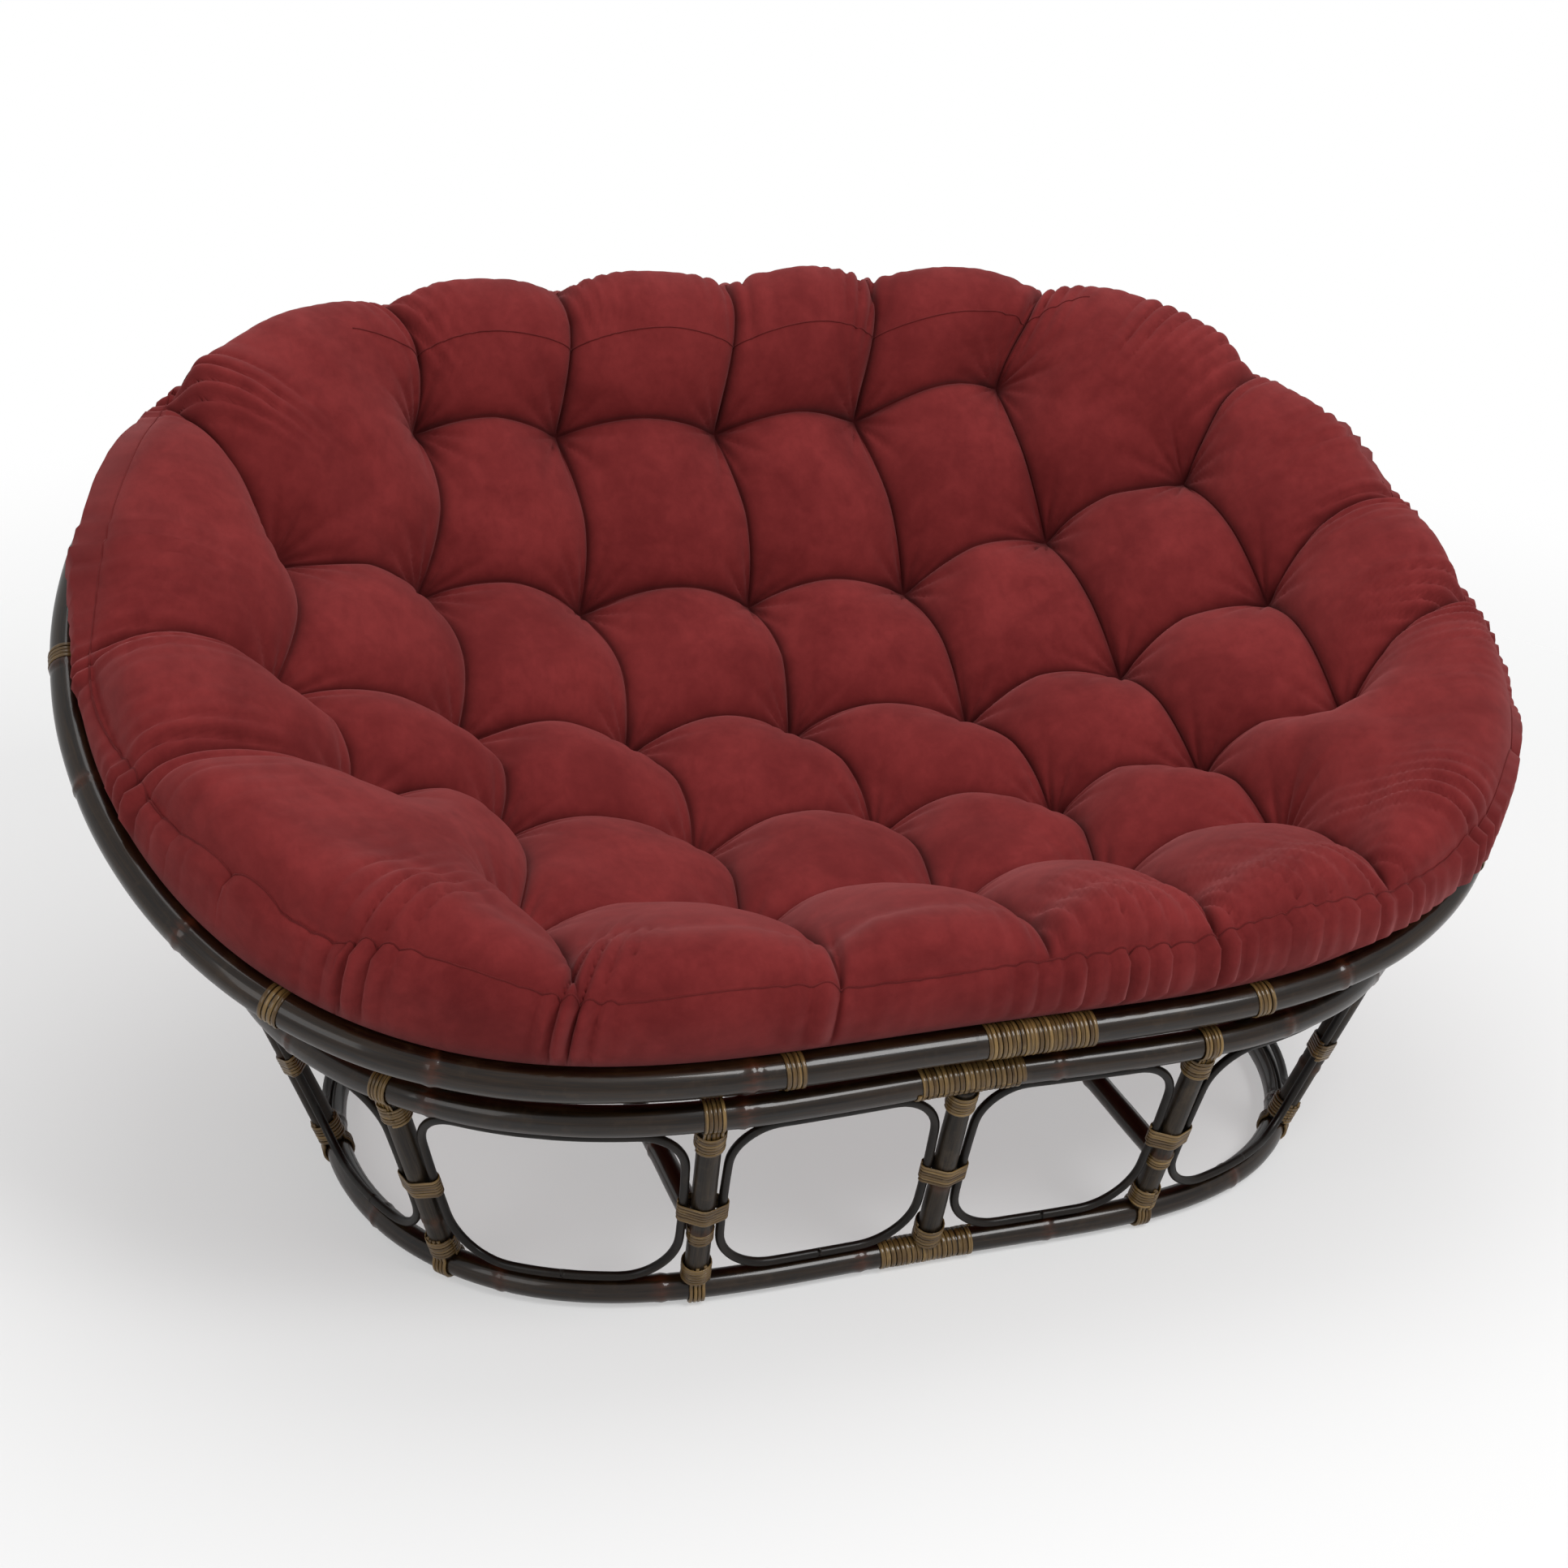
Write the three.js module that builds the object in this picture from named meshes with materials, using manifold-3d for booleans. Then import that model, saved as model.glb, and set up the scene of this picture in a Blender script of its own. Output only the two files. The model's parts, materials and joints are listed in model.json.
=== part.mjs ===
// Two-seat papasan chair: an oval bowl of rattan poles that lies tilted in an oval
// stand, with a thick tufted cushion in the bowl. Millimetres, +Z up, the origin on
// the floor under the middle of the whole chair, its front towards -Y.
import * as THREE from 'three';
import { mergeVertices } from 'three/addons/utils/BufferGeometryUtils.js';
import Module from 'manifold-3d';

const wasm = await Module();
wasm.setup();

// Clearances
const touchGap = 0.3;
const layGap = 0.4;
const rideGap = 0.6;
const cushionGap = 1.2;

// Bowl: it turns about a level axis above the stand, so its poles ride on the top ring. It
// is tilted until the front of its rim lies just above that ring. The cross ribs bend round
// the axis a little further out than the middle of the rim.
const rimRingGap = 1.887;
const ribOutset = 0.501;
const rimDepth = 248;
const rimHalfLength = 808;
const rimHalfWidth = 592;
const rimPoleRadius = 17.5;
const ribPoleRadius = 9;
const leftCrossRibSetback = 74.37;
const rightCrossRibSetback = 52.63;
const sideRibSpread = 407;
const middleRibOffset = 48;
const hoopHalfLength = 430;
const hoopHalfWidth = 285;
const hoopPoleRadius = 8;

// Stand: its top ring lies this far inside the rim's outline, and its foot ring inside that
const topRingEndInset = 148;
const topRingSideInset = 154;
const topRingHalfLength = rimHalfLength - topRingEndInset;
const topRingHalfWidth = rimHalfWidth - topRingSideInset;
const topRingHeight = 270;
const topRingPoleRadius = 15.5;
const footRingEndInset = 99;
const footRingSideInset = 80.5;
const footRingHalfLength = topRingHalfLength - footRingEndInset;
const footRingHalfWidth = topRingHalfWidth - footRingSideInset;
const footRingPoleRadius = 14;
const uprightPoleRadius = 12.5;
const bracePoleRadius = 12.5;
const braceBelowWaist = 32;

// Thin canes bent round each bay of the stand
const caneRadius = 4.75;
const caneTopCorner = 48;
const caneFootCorner = 56;
const caneBow = 4;
const waistBelowTopRing = 136;
const waistHeight = topRingHeight - waistBelowTopRing;
const braceHeight = waistHeight - braceBelowWaist;

// Peel bindings
const peelThickness = 2.4;
const footWrapThickness = 3.5;
const poleWrapLength = 24;
const turnWrapLength = 24;
const turnWrapSetback = 3;
const strandRadius = 1.3;
const fineStrandRadius = 1.05;
const waistTurnGap = 0.634;
const rimTurnGap = 0.857;
const rimSpliceMiddle = 68;
const ringTurnGap = 1.557;
const footTurnGap = 2.534;
const braceWrapLength = 18;
const braceWrapThickness = 1.2;

// Cushion: its outline lies this far inside the rim's, its floor lies inside that, and its
// heights are measured from the plane of the rim
const cushionEndInset = 6;
const cushionSideInset = 2;
const cushionHalfLength = rimHalfLength - cushionEndInset;
const cushionHalfWidth = rimHalfWidth - cushionSideInset;
const cushionShiftRight = 14;
const cushionShiftBack = 16;
const cushionFloorEndGap = 10.5;
const cushionFloorSideGap = 40.5;
const cushionFloorHalfLength = rimHalfLength - rimPoleRadius - cushionShiftRight - cushionFloorEndGap;
const cushionFloorHalfWidth = rimHalfWidth - rimPoleRadius - cushionShiftBack - cushionFloorSideGap;
const cushionThickness = 165;
const cushionEdgeHeight = 88;
const cushionEdgeRoll = 30;
const cushionWallBulge = 16;
const cushionLipRise = 19.5;
const cushionNeckDrop = 3.4;
const tuftSpacingAlong = 198;
const tuftSpacingAcross = 200;
const tuftDepth = 48;
const tuftRadius = 58;
const pillowRise = 30;

// Shapes of the ovals: a first share draws out the ends, a second fills out the sides
const rimShares = [0.042, 0.119];
const topRingShares = [0.071, 0.140];
const footRingShares = [0.035, 0.129];

// Shares that shape the cushion: where its hollow ends, how sharply it sinks, how far out
// the tufts go, and its wall from the top down: the height of its bulge, and how far out
// the bulge, the lip over the rim and the neck inside it lie
const hollowShare = 0.87;
const hollowPower = 2.2;
const hollowCornerPower = 6;
const tuftReachShare = 0.86;
const sleeveRoundShare = 0.12;
const bulgeHeightShare = 0.62;
const wallPlaceShares = [1, 0.95, 0.1];

// Where the uprights stand round the stand, in degrees from the right-hand end
const cornerAngle = 27.5;
const quarterAngle = 60;

// The widest turns between the corners of a bent rib and of the hoop, in radians
const ribTurn = 0.24;
const hoopTurn = 0.25;

// Counts
const waistTurns = 6;
const waistSteps = 6;
const rimSpliceTurns = 24;
const ringSpliceTurns = 20;
const footSpliceTurns = 18;
const ringStepsPerBay = 4;
const rimSteps = 48;
const poleSides = 8;
const uprightSides = 6;
const ribSides = 6;
const caneSides = 4;
const strandSides = 3;
const cornerSteps = 4;
const sideSteps = 4;
const baySamples = 48;
const halvings = 40;
const ribLiftPower = 3;
const exitSteps = 8;
const cushionColumns = 22;
const cushionRows = 16;
const tuftColumns = 3;
const tuftRows = 2;

const up = new THREE.Vector3(0, 0, 1);

const darkRattan = new THREE.MeshStandardMaterial({ color: 0x2b211b, roughness: 0.38, metalness: 0 });
const darkCane = new THREE.MeshStandardMaterial({ color: 0x241c18, roughness: 0.45, metalness: 0 });
const peel = new THREE.MeshStandardMaterial({ color: 0x7d6a44, roughness: 0.5, metalness: 0 });
const burgundySuede = new THREE.MeshStandardMaterial({ color: 0x7c2a2f, roughness: 0.95, metalness: 0 });

// Distance from a pole's middle to its corners: the facets hold as much as a round pole.
function cornerRadius(radius, sides) {
  const turn = (2 * Math.PI) / sides;
  return radius * Math.sqrt(turn / Math.sin(turn));
}

// Distance from a pole's middle to its flats.
function flatRadius(radius, sides) {
  return cornerRadius(radius, sides) * Math.cos(Math.PI / sides);
}

// A point of an oval, by the angle round it from its right-hand end.
function ovalPoint(angle, halfLength, halfWidth, [endShare, sideShare]) {
  return new THREE.Vector2(
    (halfLength * (Math.cos(angle) + endShare * Math.cos(3 * angle))) / (1 + endShare),
    (halfWidth * (Math.sin(angle) + sideShare * Math.sin(3 * angle))) / (1 - sideShare),
  );
}

// The place between two others up to which a condition holds.
function lastWhere(low, high, holds) {
  let [start, end] = [low, high];
  for (let step = 0; step < halvings; step += 1) {
    const middle = (start + end) / 2;
    if (holds(middle)) start = middle;
    else end = middle;
  }
  return start;
}

// The half-width of an oval at a place along its length.
function ovalHalfWidthAt(x, halfLength, halfWidth, shares) {
  const angle = lastWhere(0, Math.PI / 2, (turn) => ovalPoint(turn, halfLength, halfWidth, shares).x > Math.abs(x));
  return ovalPoint(angle, halfLength, halfWidth, shares).y;
}

// Values from the first stop to the last that meet every stop, none further apart than widest.
function filled(stops, widest) {
  const values = [stops[0]];
  for (let index = 1; index < stops.length; index += 1) {
    const span = stops[index] - stops[index - 1];
    const steps = Math.ceil(span / widest);
    for (let step = 1; step <= steps; step += 1) values.push(stops[index - 1] + (span * step) / steps);
  }
  return values;
}

// The outline of a section: corners round a circle, with a flat towards the station's up side.
function sectionOf(radius, sides) {
  return Array.from({ length: sides }, (_, index) => {
    const angle = ((index + 0.5) * 2 * Math.PI) / sides + Math.PI / 2;
    return new THREE.Vector2(radius * Math.cos(angle), radius * Math.sin(angle));
  });
}

// A station of a pole: its middle, and two axes square to the run.
function station(centre, tangent, outward) {
  const along = tangent.clone().normalize();
  const high = outward.clone().addScaledVector(along, -outward.dot(along)).normalize();
  return { centre, side: new THREE.Vector3().crossVectors(high, along), high };
}

// Stations through points, each with the outward direction that outwardAt gives for it.
function stationsThrough(points, outwardAt, closed) {
  const last = points.length - 1;
  return points.map((point, index) => {
    const before = points[closed ? (index + last) % points.length : Math.max(index - 1, 0)];
    const after = points[closed ? (index + 1) % points.length : Math.min(index + 1, last)];
    return station(point, after.clone().sub(before), outwardAt(point, index));
  });
}

// A tube of facets through stations, closed on itself or with flat ends. scales widens
// or narrows the section at each station.
function tube(stations, section, closed, scales) {
  const count = section.length;
  const places = [];
  stations.forEach(({ centre, side, high }, index) => {
    const scale = scales ? scales[index] : 1;
    for (const corner of section) {
      const place = centre.clone().addScaledVector(side, corner.x * scale);
      places.push(...place.addScaledVector(high, corner.y * scale).toArray());
    }
  });
  const faces = [];
  const spans = closed ? stations.length : stations.length - 1;
  for (let span = 0; span < spans; span += 1) {
    const here = span * count;
    const next = ((span + 1) % stations.length) * count;
    for (let corner = 0; corner < count; corner += 1) {
      const beside = (corner + 1) % count;
      faces.push(here + corner, here + beside, next + beside);
      faces.push(here + corner, next + beside, next + corner);
    }
  }
  if (!closed) {
    const end = (stations.length - 1) * count;
    for (let corner = 1; corner < count - 1; corner += 1) {
      faces.push(0, corner + 1, corner);
      faces.push(end, end + corner, end + corner + 1);
    }
  }
  const geometry = new THREE.BufferGeometry();
  geometry.setAttribute('position', new THREE.Float32BufferAttribute(places, 3));
  geometry.setIndex(faces);
  return geometry;
}

function solidOf(geometry) {
  const bare = geometry.clone();
  bare.deleteAttribute('normal');
  bare.deleteAttribute('uv');
  const merged = mergeVertices(bare);
  return new wasm.Manifold(new wasm.Mesh({
    numProp: 3,
    vertProperties: new Float32Array(merged.attributes.position.array),
    triVerts: new Uint32Array(merged.index.array),
  }));
}

function geometryOf(solid) {
  const mesh = solid.getMesh();
  const geometry = new THREE.BufferGeometry();
  geometry.setAttribute('position', new THREE.Float32BufferAttribute(mesh.vertProperties, 3));
  geometry.setIndex(new THREE.Uint32BufferAttribute(mesh.triVerts, 1));
  return geometry;
}

function piece(name, geometry, material) {
  const shaded = geometry.index ? geometry.toNonIndexed() : geometry;
  shaded.computeVertexNormals();
  const mesh = new THREE.Mesh(shaded, material);
  mesh.name = name;
  return mesh;
}

// The point a given distance along a closed run of points.
function alongRun(points, distance) {
  const lengths = points.map((point, index) => point.distanceTo(points[(index + 1) % points.length]));
  const total = lengths.reduce((sum, length) => sum + length);
  let left = ((distance % total) + total) % total;
  let index = 0;
  while (left > lengths[index]) {
    left -= lengths[index];
    index += 1;
  }
  return points[index].clone().lerp(points[(index + 1) % points.length], left / lengths[index]);
}

// How far along a closed run a corner of it lies.
function runDistance(points, corner) {
  let sum = 0;
  for (let index = 0; index < corner; index += 1) sum += points[index].distanceTo(points[index + 1]);
  return sum;
}

// A strand of peel wound round a closed run of pole: it is unbroken, and its turns keep to
// the pole's corners.
function wound(run, middle, poleRadius, turns, turnGap, thickness) {
  const pitch = 2 * cornerRadius(thickness, strandSides) + turnGap;
  const radius = cornerRadius(poleRadius, poleSides) + touchGap + cornerRadius(thickness, strandSides);
  const steps = turns * poleSides;
  const points = [];
  for (let step = 0; step <= steps; step += 1) {
    const distance = middle + pitch * (step / poleSides - turns / 2);
    const centre = alongRun(run, distance);
    const ahead = alongRun(run, distance + pitch).sub(alongRun(run, distance - pitch));
    const frame = station(centre, ahead, up);
    const angle = ((step + 0.5) * 2 * Math.PI) / poleSides;
    points.push(centre.clone()
      .addScaledVector(frame.side, radius * Math.cos(angle))
      .addScaledVector(frame.high, radius * Math.sin(angle)));
  }
  return points;
}

function strandTube(points, radius) {
  const middle = points.reduce((sum, point) => sum.add(point), new THREE.Vector3())
    .divideScalar(points.length);
  const stations = stationsThrough(points, (point) => point.clone().sub(middle), false);
  return tube(stations, sectionOf(cornerRadius(radius, strandSides), strandSides), false);
}

// Prints the least clear distance between the turns of a strand, measured on its points.
function reportGap(name, points, stepsPerTurn, radius) {
  let least = Infinity;
  for (let one = 0; one < points.length; one += 1) {
    for (let other = one + stepsPerTurn - 1; other < points.length; other += 1) {
      least = Math.min(least, points[one].distanceTo(points[other]));
    }
  }
  const clear = least - 2 * cornerRadius(radius, strandSides);
  console.log(`${name}: least gap between turns ${clear.toFixed(2)} mm`);
}

// Stand

// The chair stands on the wraps at the feet of the uprights.
const footRingHeight = flatRadius(footRingPoleRadius + touchGap + footWrapThickness, poleSides);
const toRadians = THREE.MathUtils.degToRad;
const uprightAngles = [
  -90, -quarterAngle, -cornerAngle, 0, cornerAngle, quarterAngle,
  90, 180 - quarterAngle, 180 - cornerAngle, 180, 180 + cornerAngle, 180 + quarterAngle,
].map(toRadians);
const uprightNames = [
  'front_middle', 'front_right', 'front_right_corner', 'right_end', 'back_right_corner', 'back_right',
  'back_middle', 'back_left', 'back_left_corner', 'left_end', 'front_left_corner', 'front_left',
];
const frontMiddle = 0;
const bracedPairs = [[11, 7, 'left'], [1, 5, 'right']];

function topRingPoint(angle) {
  const flat = ovalPoint(angle, topRingHalfLength, topRingHalfWidth, topRingShares);
  return new THREE.Vector3(flat.x, flat.y, topRingHeight);
}

function footRingPoint(angle) {
  const flat = ovalPoint(angle, footRingHalfLength, footRingHalfWidth, footRingShares);
  return new THREE.Vector3(flat.x, flat.y, footRingHeight);
}

// A point of the stand's sloping wall, between the two rings.
function wallPoint(angle, height) {
  const share = (height - footRingHeight) / (topRingHeight - footRingHeight);
  return footRingPoint(angle).lerp(topRingPoint(angle), share);
}

function wallOutward(angle, height) {
  const step = toRadians(1);
  const along = wallPoint(angle + step, height).sub(wallPoint(angle - step, height));
  return new THREE.Vector3().crossVectors(along, up).normalize();
}

// The bay from one upright to the next: its end angles, and how far across it lies each of
// the angles between them.
function bayFrom(index) {
  const from = uprightAngles[index];
  const next = uprightAngles[(index + 1) % uprightAngles.length];
  const to = next > from ? next : next + 2 * Math.PI;
  const places = Array.from({ length: baySamples + 1 }, (_, sample) =>
    wallPoint(from + ((to - from) * sample) / baySamples, waistHeight));
  const distances = [0];
  for (let sample = 1; sample <= baySamples; sample += 1) {
    distances.push(distances[sample - 1] + places[sample].distanceTo(places[sample - 1]));
  }
  return { from, to, distances, width: distances[baySamples] };
}

const bays = uprightAngles.map((_, index) => bayFrom(index));

// The angle a given share of the way across a bay.
function angleAcross(bay, share) {
  const wanted = THREE.MathUtils.clamp(share, 0, 1) * bay.width;
  let sample = 1;
  while (sample < baySamples && bay.distances[sample] < wanted) sample += 1;
  const start = bay.distances[sample - 1];
  const part = (wanted - start) / (bay.distances[sample] - start);
  return bay.from + ((bay.to - bay.from) * (sample - 1 + part)) / baySamples;
}

function ringRun(pointAt) {
  return bays.flatMap((bay) => Array.from({ length: ringStepsPerBay }, (_, step) =>
    pointAt(angleAcross(bay, step / ringStepsPerBay))));
}

const topRingRun = ringRun(topRingPoint);
const footRingRun = ringRun(footRingPoint);

function ringTube(run, radius) {
  const stations = stationsThrough(run, () => up, true);
  return tube(stations, sectionOf(cornerRadius(radius, poleSides), poleSides), true);
}

// A wrap laid over a ring at one of its corners, as wide as its strands beside each other.
function ringCollar(run, corner, radius) {
  const middle = runDistance(run, corner);
  const [start, end] = [-poleWrapLength / 2, poleWrapLength / 2].map((offset) => alongRun(run, middle + offset));
  return straightPole(start, end, radius, up, poleSides);
}

// A straight pole that swells to a sleeve of peel turns wherever one is wound on it.
function boundPole(start, end, radius, sleeves, outward) {
  const along = end.clone().sub(start).normalize();
  const stops = [[0, 1]];
  for (const { from, length, thickness } of sleeves) {
    const round = length * sleeveRoundShare;
    const swell = (radius + thickness) / radius;
    stops.push([from, 1], [from + round, swell], [from + length - round, swell], [from + length, 1]);
  }
  stops.push([start.distanceTo(end), 1]);
  const points = stops.map(([distance]) => start.clone().addScaledVector(along, distance));
  return tube(stationsThrough(points, () => outward, false),
    sectionOf(cornerRadius(radius, uprightSides), uprightSides), false, stops.map(([, scale]) => scale));
}

function straightPole(start, end, radius, outward, sides) {
  return tube(stationsThrough([start, end], () => outward, false),
    sectionOf(cornerRadius(radius, sides), sides), false);
}

const topRingEnvelope = solidOf(ringTube(topRingRun, topRingPoleRadius + touchGap));
const footRingEnvelope = solidOf(ringTube(footRingRun, footRingPoleRadius + touchGap));

// An upright: its coped ends meet the rings, strands of peel tie it to each of them, and
// turns of peel bind it just inside. The front middle one stands under the rings' splices.
function uprightGeometry(index) {
  const foot = footRingPoint(uprightAngles[index]);
  const head = topRingPoint(uprightAngles[index]);
  const length = foot.distanceTo(head);
  const outward = wallOutward(uprightAngles[index], waistHeight);
  const footSleeve = footRingPoleRadius + turnWrapSetback;
  const headSleeve = length - topRingPoleRadius - turnWrapSetback - turnWrapLength;
  const sleeves = [{ from: footSleeve, length: turnWrapLength, thickness: peelThickness }];
  if (bracedPairs.some((pair) => pair.includes(index))) {
    const from = foot.distanceTo(wallPoint(uprightAngles[index], braceHeight)) - braceWrapLength / 2;
    sleeves.push({ from, length: braceWrapLength, thickness: braceWrapThickness });
  }
  sleeves.push({ from: headSleeve, length: turnWrapLength, thickness: peelThickness });
  let solid = solidOf(boundPole(foot, head, uprightPoleRadius, sleeves, outward));
  if (index === frontMiddle) {
    const topStrand = 2 * (touchGap + cornerRadius(strandRadius, strandSides));
    const footStrand = 2 * (touchGap + cornerRadius(fineStrandRadius, strandSides));
    const topCut = ringTube(topRingRun, topRingPoleRadius + topStrand);
    const footCut = ringTube(footRingRun, footRingPoleRadius + footStrand);
    return geometryOf(solid.subtract(solidOf(topCut)).subtract(solidOf(footCut)));
  }
  const corner = index * ringStepsPerBay;
  const topWrap = ringCollar(topRingRun, corner, topRingPoleRadius + touchGap + peelThickness);
  const footWrap = ringCollar(footRingRun, corner, footRingPoleRadius + touchGap + footWrapThickness);
  solid = solid.add(solidOf(topWrap)).add(solidOf(footWrap));
  return geometryOf(solid.subtract(topRingEnvelope).subtract(footRingEnvelope));
}

// A cane bent to fit a bay: it follows the undersides of the rings and draws in to the
// uprights at the waist.
function canePoints(bayIndex) {
  const bay = bays[bayIndex];
  const cane = cornerRadius(caneRadius, caneSides);
  const ringGap = touchGap + cane;
  const top = topRingHeight - cornerRadius(topRingPoleRadius, poleSides) - ringGap;
  const bottom = footRingHeight + cornerRadius(footRingPoleRadius, poleSides) + ringGap;
  const inset = cornerRadius(uprightPoleRadius, uprightSides) + touchGap + cane;
  const outline = [];
  const arc = (corner, height, turnFrom, sideSign) => {
    for (let step = 0; step <= cornerSteps; step += 1) {
      const turn = turnFrom + ((Math.PI / 2) * step) / cornerSteps;
      outline.push([sideSign, corner * (1 - Math.abs(Math.cos(turn))),
        height + corner * (Math.sin(turn) - Math.sign(Math.sin(turnFrom + Math.PI / 4)))]);
    }
  };
  const side = (sideSign, from, to) => {
    for (let step = 1; step < sideSteps; step += 1) {
      outline.push([sideSign, 0, from + ((to - from) * step) / sideSteps]);
    }
  };
  arc(caneTopCorner, top, 0, 1);
  arc(caneTopCorner, top, Math.PI / 2, -1);
  side(-1, top - caneTopCorner, bottom + caneFootCorner);
  arc(caneFootCorner, bottom, Math.PI, -1);
  arc(caneFootCorner, bottom, (3 * Math.PI) / 2, 1);
  side(1, bottom + caneFootCorner, top - caneTopCorner);
  const halfSpan = (top - bottom) / 2;
  return outline.map(([sideSign, drawnIn, height]) => {
    const bowShare = Math.min(Math.abs(height - waistHeight) / halfSpan, 1);
    const offset = inset + drawnIn + caneBow * bowShare * bowShare;
    const edge = sideSign > 0 ? bay.to : bay.from;
    const edgePoint = wallPoint(edge, height);
    const guess = THREE.MathUtils.clamp(offset / bay.width, 0, 1);
    const nearAngle = angleAcross(bay, sideSign > 0 ? 1 - guess : guess);
    const scale = offset / edgePoint.distanceTo(wallPoint(nearAngle, height));
    const share = guess * scale;
    const angle = angleAcross(bay, sideSign > 0 ? 1 - share : share);
    return { point: wallPoint(angle, height), outward: wallOutward(angle, height) };
  });
}

function caneGeometry(bayIndex) {
  const stops = canePoints(bayIndex);
  const stations = stationsThrough(stops.map((stop) => stop.point),
    (_, index) => stops[index].outward, true);
  return tube(stations, sectionOf(cornerRadius(caneRadius, caneSides), caneSides), true);
}

// The binding at an upright's waist: a strand wound round the upright and the canes
// on both sides of it.
function waistPoints(index) {
  const angle = uprightAngles[index];
  const foot = footRingPoint(angle);
  const run = topRingPoint(angle).sub(foot).normalize();
  const centre = wallPoint(angle, waistHeight);
  const outward = wallOutward(angle, waistHeight);
  const frame = station(centre, run, outward);
  const strand = cornerRadius(fineStrandRadius, strandSides);
  const cane = cornerRadius(caneRadius, caneSides);
  const caneMiddle = cornerRadius(uprightPoleRadius, uprightSides) + touchGap + cane;
  const across = caneMiddle + cane + touchGap + 2 * strand;
  const deep = flatRadius(uprightPoleRadius, uprightSides) + 2 * touchGap + strand;
  const loop = [[across, 0], [caneMiddle, deep], [-caneMiddle, deep],
    [-across, 0], [-caneMiddle, -deep], [caneMiddle, -deep]];
  const pitch = 2 * strand + waistTurnGap;
  const points = [];
  for (let step = 0; step <= waistTurns * waistSteps; step += 1) {
    const [sideways, outwards] = loop[step % waistSteps];
    points.push(centre.clone()
      .addScaledVector(run, pitch * (step / waistSteps - waistTurns / 2))
      .addScaledVector(frame.side, sideways)
      .addScaledVector(frame.high, outwards));
  }
  return points;
}

// A brace from a front upright to the back one behind it, coped to the turns that bind them.
function braceGeometry(frontIndex, backIndex) {
  const [start, end] = [frontIndex, backIndex].map((index) => wallPoint(uprightAngles[index], braceHeight));
  let solid = solidOf(straightPole(start, end, bracePoleRadius, up, poleSides));
  for (const index of [frontIndex, backIndex]) {
    const angle = uprightAngles[index];
    const bore = straightPole(footRingPoint(angle), topRingPoint(angle),
      uprightPoleRadius + braceWrapThickness + touchGap, wallOutward(angle, waistHeight), uprightSides);
    solid = solid.subtract(solidOf(bore));
  }
  return geometryOf(solid);
}

function stand() {
  const group = new THREE.Group();
  group.add(piece('top_ring', ringTube(topRingRun, topRingPoleRadius), darkRattan));
  group.add(piece('foot_ring', ringTube(footRingRun, footRingPoleRadius), darkRattan));
  uprightNames.forEach((name, index) => {
    group.add(piece(`upright_${name}`, uprightGeometry(index), darkRattan));
    group.add(piece(`cane_${name}`, caneGeometry(index), darkCane));
    const waist = waistPoints(index);
    if (index === frontMiddle) reportGap('waist binding', waist, waistSteps, fineStrandRadius);
    group.add(piece(`waist_binding_${name}`, strandTube(waist, fineStrandRadius), peel));
  });
  for (const [front, back, name] of bracedPairs) {
    group.add(piece(`brace_${name}`, braceGeometry(front, back), darkRattan));
  }
  const topSplice = wound(topRingRun, 0, topRingPoleRadius, ringSpliceTurns, ringTurnGap, strandRadius);
  reportGap('top ring splice', topSplice, poleSides, strandRadius);
  group.add(piece('top_ring_splice', strandTube(topSplice, strandRadius), peel));
  const footSplice = wound(footRingRun, 0, footRingPoleRadius, footSpliceTurns, footTurnGap,
    fineStrandRadius);
  reportGap('foot ring splice', footSplice, poleSides, fineStrandRadius);
  group.add(piece('foot_ring_splice', strandTube(footSplice, fineStrandRadius), peel));
  return group;
}

// Bowl, in its own frame: the origin on the axis it turns about, X along that axis, and
// the plane of the rim level below it

// How far from the axis the bowl's round surface lies at a place along it, at the rim.
function rimReach(x) {
  return Math.hypot(ovalHalfWidthAt(x, rimHalfLength, rimHalfWidth, rimShares), rimDepth);
}

// The half-width of the stand's top ring there, between its corners.
function topRingHalfWidthAt(x) {
  const after = topRingRun.findIndex((corner, index) => index > 0 && corner.x > Math.abs(x));
  const [near, far] = [topRingRun[after - 1], topRingRun[after]];
  return Math.abs(THREE.MathUtils.mapLinear(Math.abs(x), near.x, far.x, near.y, far.y));
}

// The axis stands as far above the top ring as lets the cross ribs ride on it. Where one pole
// crosses another that slopes, the seat is taken at the pole's edge, where the other stands
// highest.
const rib = flatRadius(ribPoleRadius, ribSides);
const hoop = flatRadius(hoopPoleRadius, ribSides);
const ringToRib = flatRadius(topRingPoleRadius, poleSides) + rideGap + rib;
const crossRibPlaces = [
  leftCrossRibSetback - topRingPoint(toRadians(quarterAngle)).x,
  rightCrossRibSetback + topRingPoint(toRadians(quarterAngle)).x,
];
const axisRise = Math.max(...crossRibPlaces.map((x) => {
  const reach = rimReach(Math.abs(x) - ribPoleRadius) + ribOutset + ringToRib;
  const halfWidth = topRingHalfWidthAt(Math.abs(x) + ribPoleRadius);
  return Math.sqrt(reach * reach - halfWidth * halfWidth);
}));
const pivotHeight = topRingHeight + axisRise;

// The bowl's tilt: from the rim's angle about the axis to the ring's, less the turn that
// keeps their poles and splices apart.
const splicedThickness = touchGap + 2 * cornerRadius(strandRadius, strandSides);
const rimToRing = rimPoleRadius + topRingPoleRadius + 2 * splicedThickness + rimRingGap;
const [rimAway, ringAway] = [Math.hypot(rimHalfWidth, rimDepth), Math.hypot(topRingHalfWidth, axisRise)];
const apart = Math.acos((rimAway ** 2 + ringAway ** 2 - rimToRing ** 2) / (2 * rimAway * ringAway));
const tilt = Math.atan2(rimHalfWidth, rimDepth) - Math.atan2(topRingHalfWidth, axisRise) - apart;

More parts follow.
